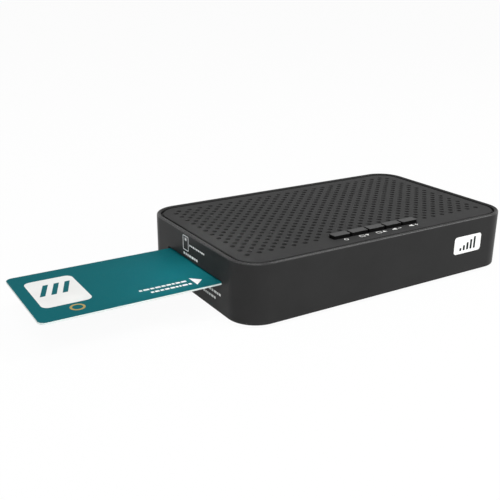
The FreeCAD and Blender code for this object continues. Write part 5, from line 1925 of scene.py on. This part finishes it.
    def folded_sockets(self) -> None:
        """Makes the HDMI and USB shells with their springs, tongues and contacts."""
        for name, centre, half, wall, near, bevel in (
            ("hdmi", self.hdmi, (7.5, 2.8), 0.4, 38.0, 1.6),
            ("usb", self.usb, (6.55, 2.95), 0.35, 35.5, 0.0),
        ):
            inner = bevelled((half[0] - wall, half[1] - wall), max(bevel - 0.25, 0.0), centre)
            shell = push(f"{name}_shell_folded", bevelled(half, bevel, centre), near, self.face)
            carve(shell, push("mouth", inner, near + wall, self.face + 1))
            fit(shell, Stock.TIN, f"{name}_shell")
            springs = self.springs(centre[0], centre[1] + half[1] - wall)
            fit(gather(f"{name}_springs", springs), Stock.TIN)
        end = self.tongue_end
        for name, finish, middle, half, near in (
            ("hdmi_tongue", Stock.NYLON, (3.0, 15.6), (6.0, 0.5), 38.4),
            ("usb_tongue", Stock.INSULATOR, (-16.0, 16.2), (5.55, 0.95), 35.85),
        ):
            rings = [
                at_depth(rounded((half[0] - inset, half[1] - inset), 0.2, middle, 3), depth)
                for inset, depth in ((0.0, near), (0.0, end - 0.25), (0.18, end))
            ]
            fit(raise_solid(f"{name}_moulded", rings), finish, name)
        upper = [(self.hdmi[0] + step - 4.5, 41.2, 16.1) for step in range(10)]
        lower = [(self.hdmi[0] + step - 4.0, 41.2, 15.05) for step in range(9)]
        broad = [(self.usb[0] + side, 40.4, 15.2) for side in (-3.5, -1.0, 1.0, 3.5)]
        for name, wide, long, places in (
            ("hdmi_contacts", 0.16, 6.4, upper + lower), ("usb_contacts", 0.5, 7.2, broad)
        ):
            leaf = block("leaf", (-wide, 0.0, 0.0), (wide, long, 0.05))
            fit(self.setter.set_out(name, leaf, places, Stock.GOLD), Stock.GOLD)

    def build(self) -> None:
        """Makes the panel and the sockets, and dresses the rest."""
        fit(self.panel(), Stock.PANEL, "rear_panel")
        self.round_sockets()
        self.folded_sockets()
        dress(Stock.NYLON, "ethernet_jack")
        dress(Stock.GOLD, "ethernet_contacts")


# ---------------------------------------------------------------- studio


@dataclass(frozen=True)
class Lamp:
    """A soft square lamp: its place and side in m, power in W, aim, and beam in degrees."""

    name: str
    place: Point3
    size: float
    power: float
    aim: Point3 = (0.0, 0.0, 0.02)
    beam: float = 180.0

    def hang(self) -> None:
        """Hangs the lamp so that it looks at its aim."""
        data = bpy.data.lights.new(self.name, "AREA")
        data.shape, data.size, data.energy = "SQUARE", self.size, self.power
        data.spread = math.radians(self.beam)
        lamp = place_new(self.name, data)
        lamp.location = self.place
        aim = Vector(self.aim) - Vector(self.place)
        lamp.rotation_euler = aim.to_track_quat("-Z", "Y").to_euler()


@dataclass
class Studio:
    """Floor, surround, lamps and camera."""

    camera_place: Point3 = (-0.23111, -0.29414, 0.14397)
    yaw: float = -31.71
    pitch: float = 20.11
    roll: float = 0.38
    lens: float = 52.66
    surround: float = 0.43
    floor_glow: float = 0.95
    floor_reach: float = 6.0
    lamps: tuple[Lamp, ...] = (
        Lamp("edge_lamp", (0.62, -0.46, 0.98), 0.25, 3.4),
        Lamp("right_lamp", (0.66, -0.72, 0.3), 0.4, 3.6),
        Lamp("fill_lamp", (-0.5, -0.7, 1.2), 0.8, 6.8),
        Lamp("corner_lamp", (-0.55, -1.0, 0.5), 0.6, 3.6),
        Lamp("slot_lamp", (-0.25, -0.05, 0.37), 0.04, 0.0048, (-0.085, -0.01, 0.017), 12.0),
    )
    # rays that the eye follows, straight or by a gloss, told from those that only light
    sight: tuple[Row, ...] = (
        ("path", "ShaderNodeLightPath", {}, ()),
        ("eye or gloss", SUM, "MAXIMUM", ("path.Is Camera Ray", "path.Is Glossy Ray")),
        ("seen", SUM, "MAXIMUM", ("eye or gloss", "path.Is Transmission Ray")),
    )

    def fill(self, owner: bpy.types.ID, ending: str, rows: Iterable[Row]) -> None:
        """Gives a material or a surround nodes that tell the eye's rays from the rest.

        Args:
            owner: The material or the world.
            ending: Blender's type name of its output node.
            rows: Its nodes after those for the rays; the last one is its surface.
        """
        owner.use_nodes = True
        owner.node_tree.nodes.clear()
        made = wire(owner.node_tree, {}, (*self.sight, *rows))
        add_node(owner.node_tree, ending, {"Surface": list(made.values())[-2]})

    def floor(self) -> None:
        """Lays a white floor that keeps a soft shadow and is clear from below."""
        data = bpy.data.meshes.new("studio_floor")
        reach = self.floor_reach
        corners = [(-reach, -reach, 0), (reach, -reach, 0), (reach, reach, 0), (-reach, reach, 0)]
        data.from_pydata(corners, [], [(0, 1, 2, 3)])
        paper = bpy.data.materials.new("paper_white_seamless")
        rows = (
            ("share", SUM, "MULTIPLY", ("seen", self.floor_glow)),
            ("matt", "ShaderNodeBsdfDiffuse", {}, {"Color": linear("#f8f8f8")}),
            ("glow", "ShaderNodeEmission", {}, {"Strength": 1.0}),
            ("lit", "ShaderNodeMixShader", {}, ("share", "matt", "glow")),
            ("clear", "ShaderNodeBsdfTransparent", {}, ()),
            ("side", "ShaderNodeNewGeometry", {}, ()),
            ("sheet", "ShaderNodeMixShader", {}, ("side.Backfacing", "lit", "clear")),
        )
        self.fill(paper, "ShaderNodeOutputMaterial", rows)
        data.materials.append(paper)
        place_new("studio_floor", data)

    def world(self) -> None:
        """Makes the surround: white where it is seen, plain grey where it lights."""
        world = bpy.data.worlds.new("studio_surround")
        bpy.context.scene.world = world
        white = (1.0, 1.0, 1.0, 1.0)
        rows = (
            ("grey", "ShaderNodeBackground", {}, (white, self.surround)),
            ("white", "ShaderNodeBackground", {}, (white, 1.0)),
            ("mixed", "ShaderNodeMixShader", {}, ("seen", "grey", "white")),
        )
        self.fill(world, "ShaderNodeOutputWorld", rows)

    def camera(self) -> None:
        """Sets up the camera at the viewing angle."""
        yaw, pitch, roll = (math.radians(a) for a in (self.yaw, self.pitch, self.roll))
        level = Vector((-math.sin(yaw), math.cos(yaw), 0.0)) * math.cos(pitch)
        forward = level - Vector((0.0, 0.0, math.sin(pitch)))
        right = Vector((math.cos(yaw), math.sin(yaw), 0.0))
        upward = right.cross(forward)
        right, upward = (
            right * math.cos(roll) + upward * math.sin(roll),
            upward * math.cos(roll) - right * math.sin(roll),
        )
        data = bpy.data.cameras.new("studio_camera")
        data.lens, data.sensor_width, data.sensor_fit = self.lens, 36.0, "HORIZONTAL"
        data.clip_start, data.clip_end = 0.01, 50.0
        camera = place_new("studio_camera", data)
        turn = Matrix((right, upward, -forward)).transposed().to_4x4()
        camera.matrix_world = Matrix.Translation(self.camera_place) @ turn
        bpy.context.scene.camera = camera

    def build(self) -> None:
        """Sets up everything around the object."""
        self.floor()
        self.world()
        for lamp in self.lamps:
            lamp.hang()
        self.camera()
        bpy.context.scene.view_settings.view_transform = "Standard"


def main() -> None:
    """Builds every sub-assembly in order and logs each piece's face count."""
    logging.basicConfig(level=logging.INFO, format="%(name)s %(message)s")
    Studio().build()
    setter, case = Setter(), LowerCase()
    for part in (
        case, TopCover(case), Fastenings(case, setter), KeyRow(), CasePrints(case),
        SmartCard(), Packages(), Board(setter), RearSockets(setter),
    ):
        log.info("building %s", type(part).__name__)
        part.build()


if __name__ == "__main__":
    main()
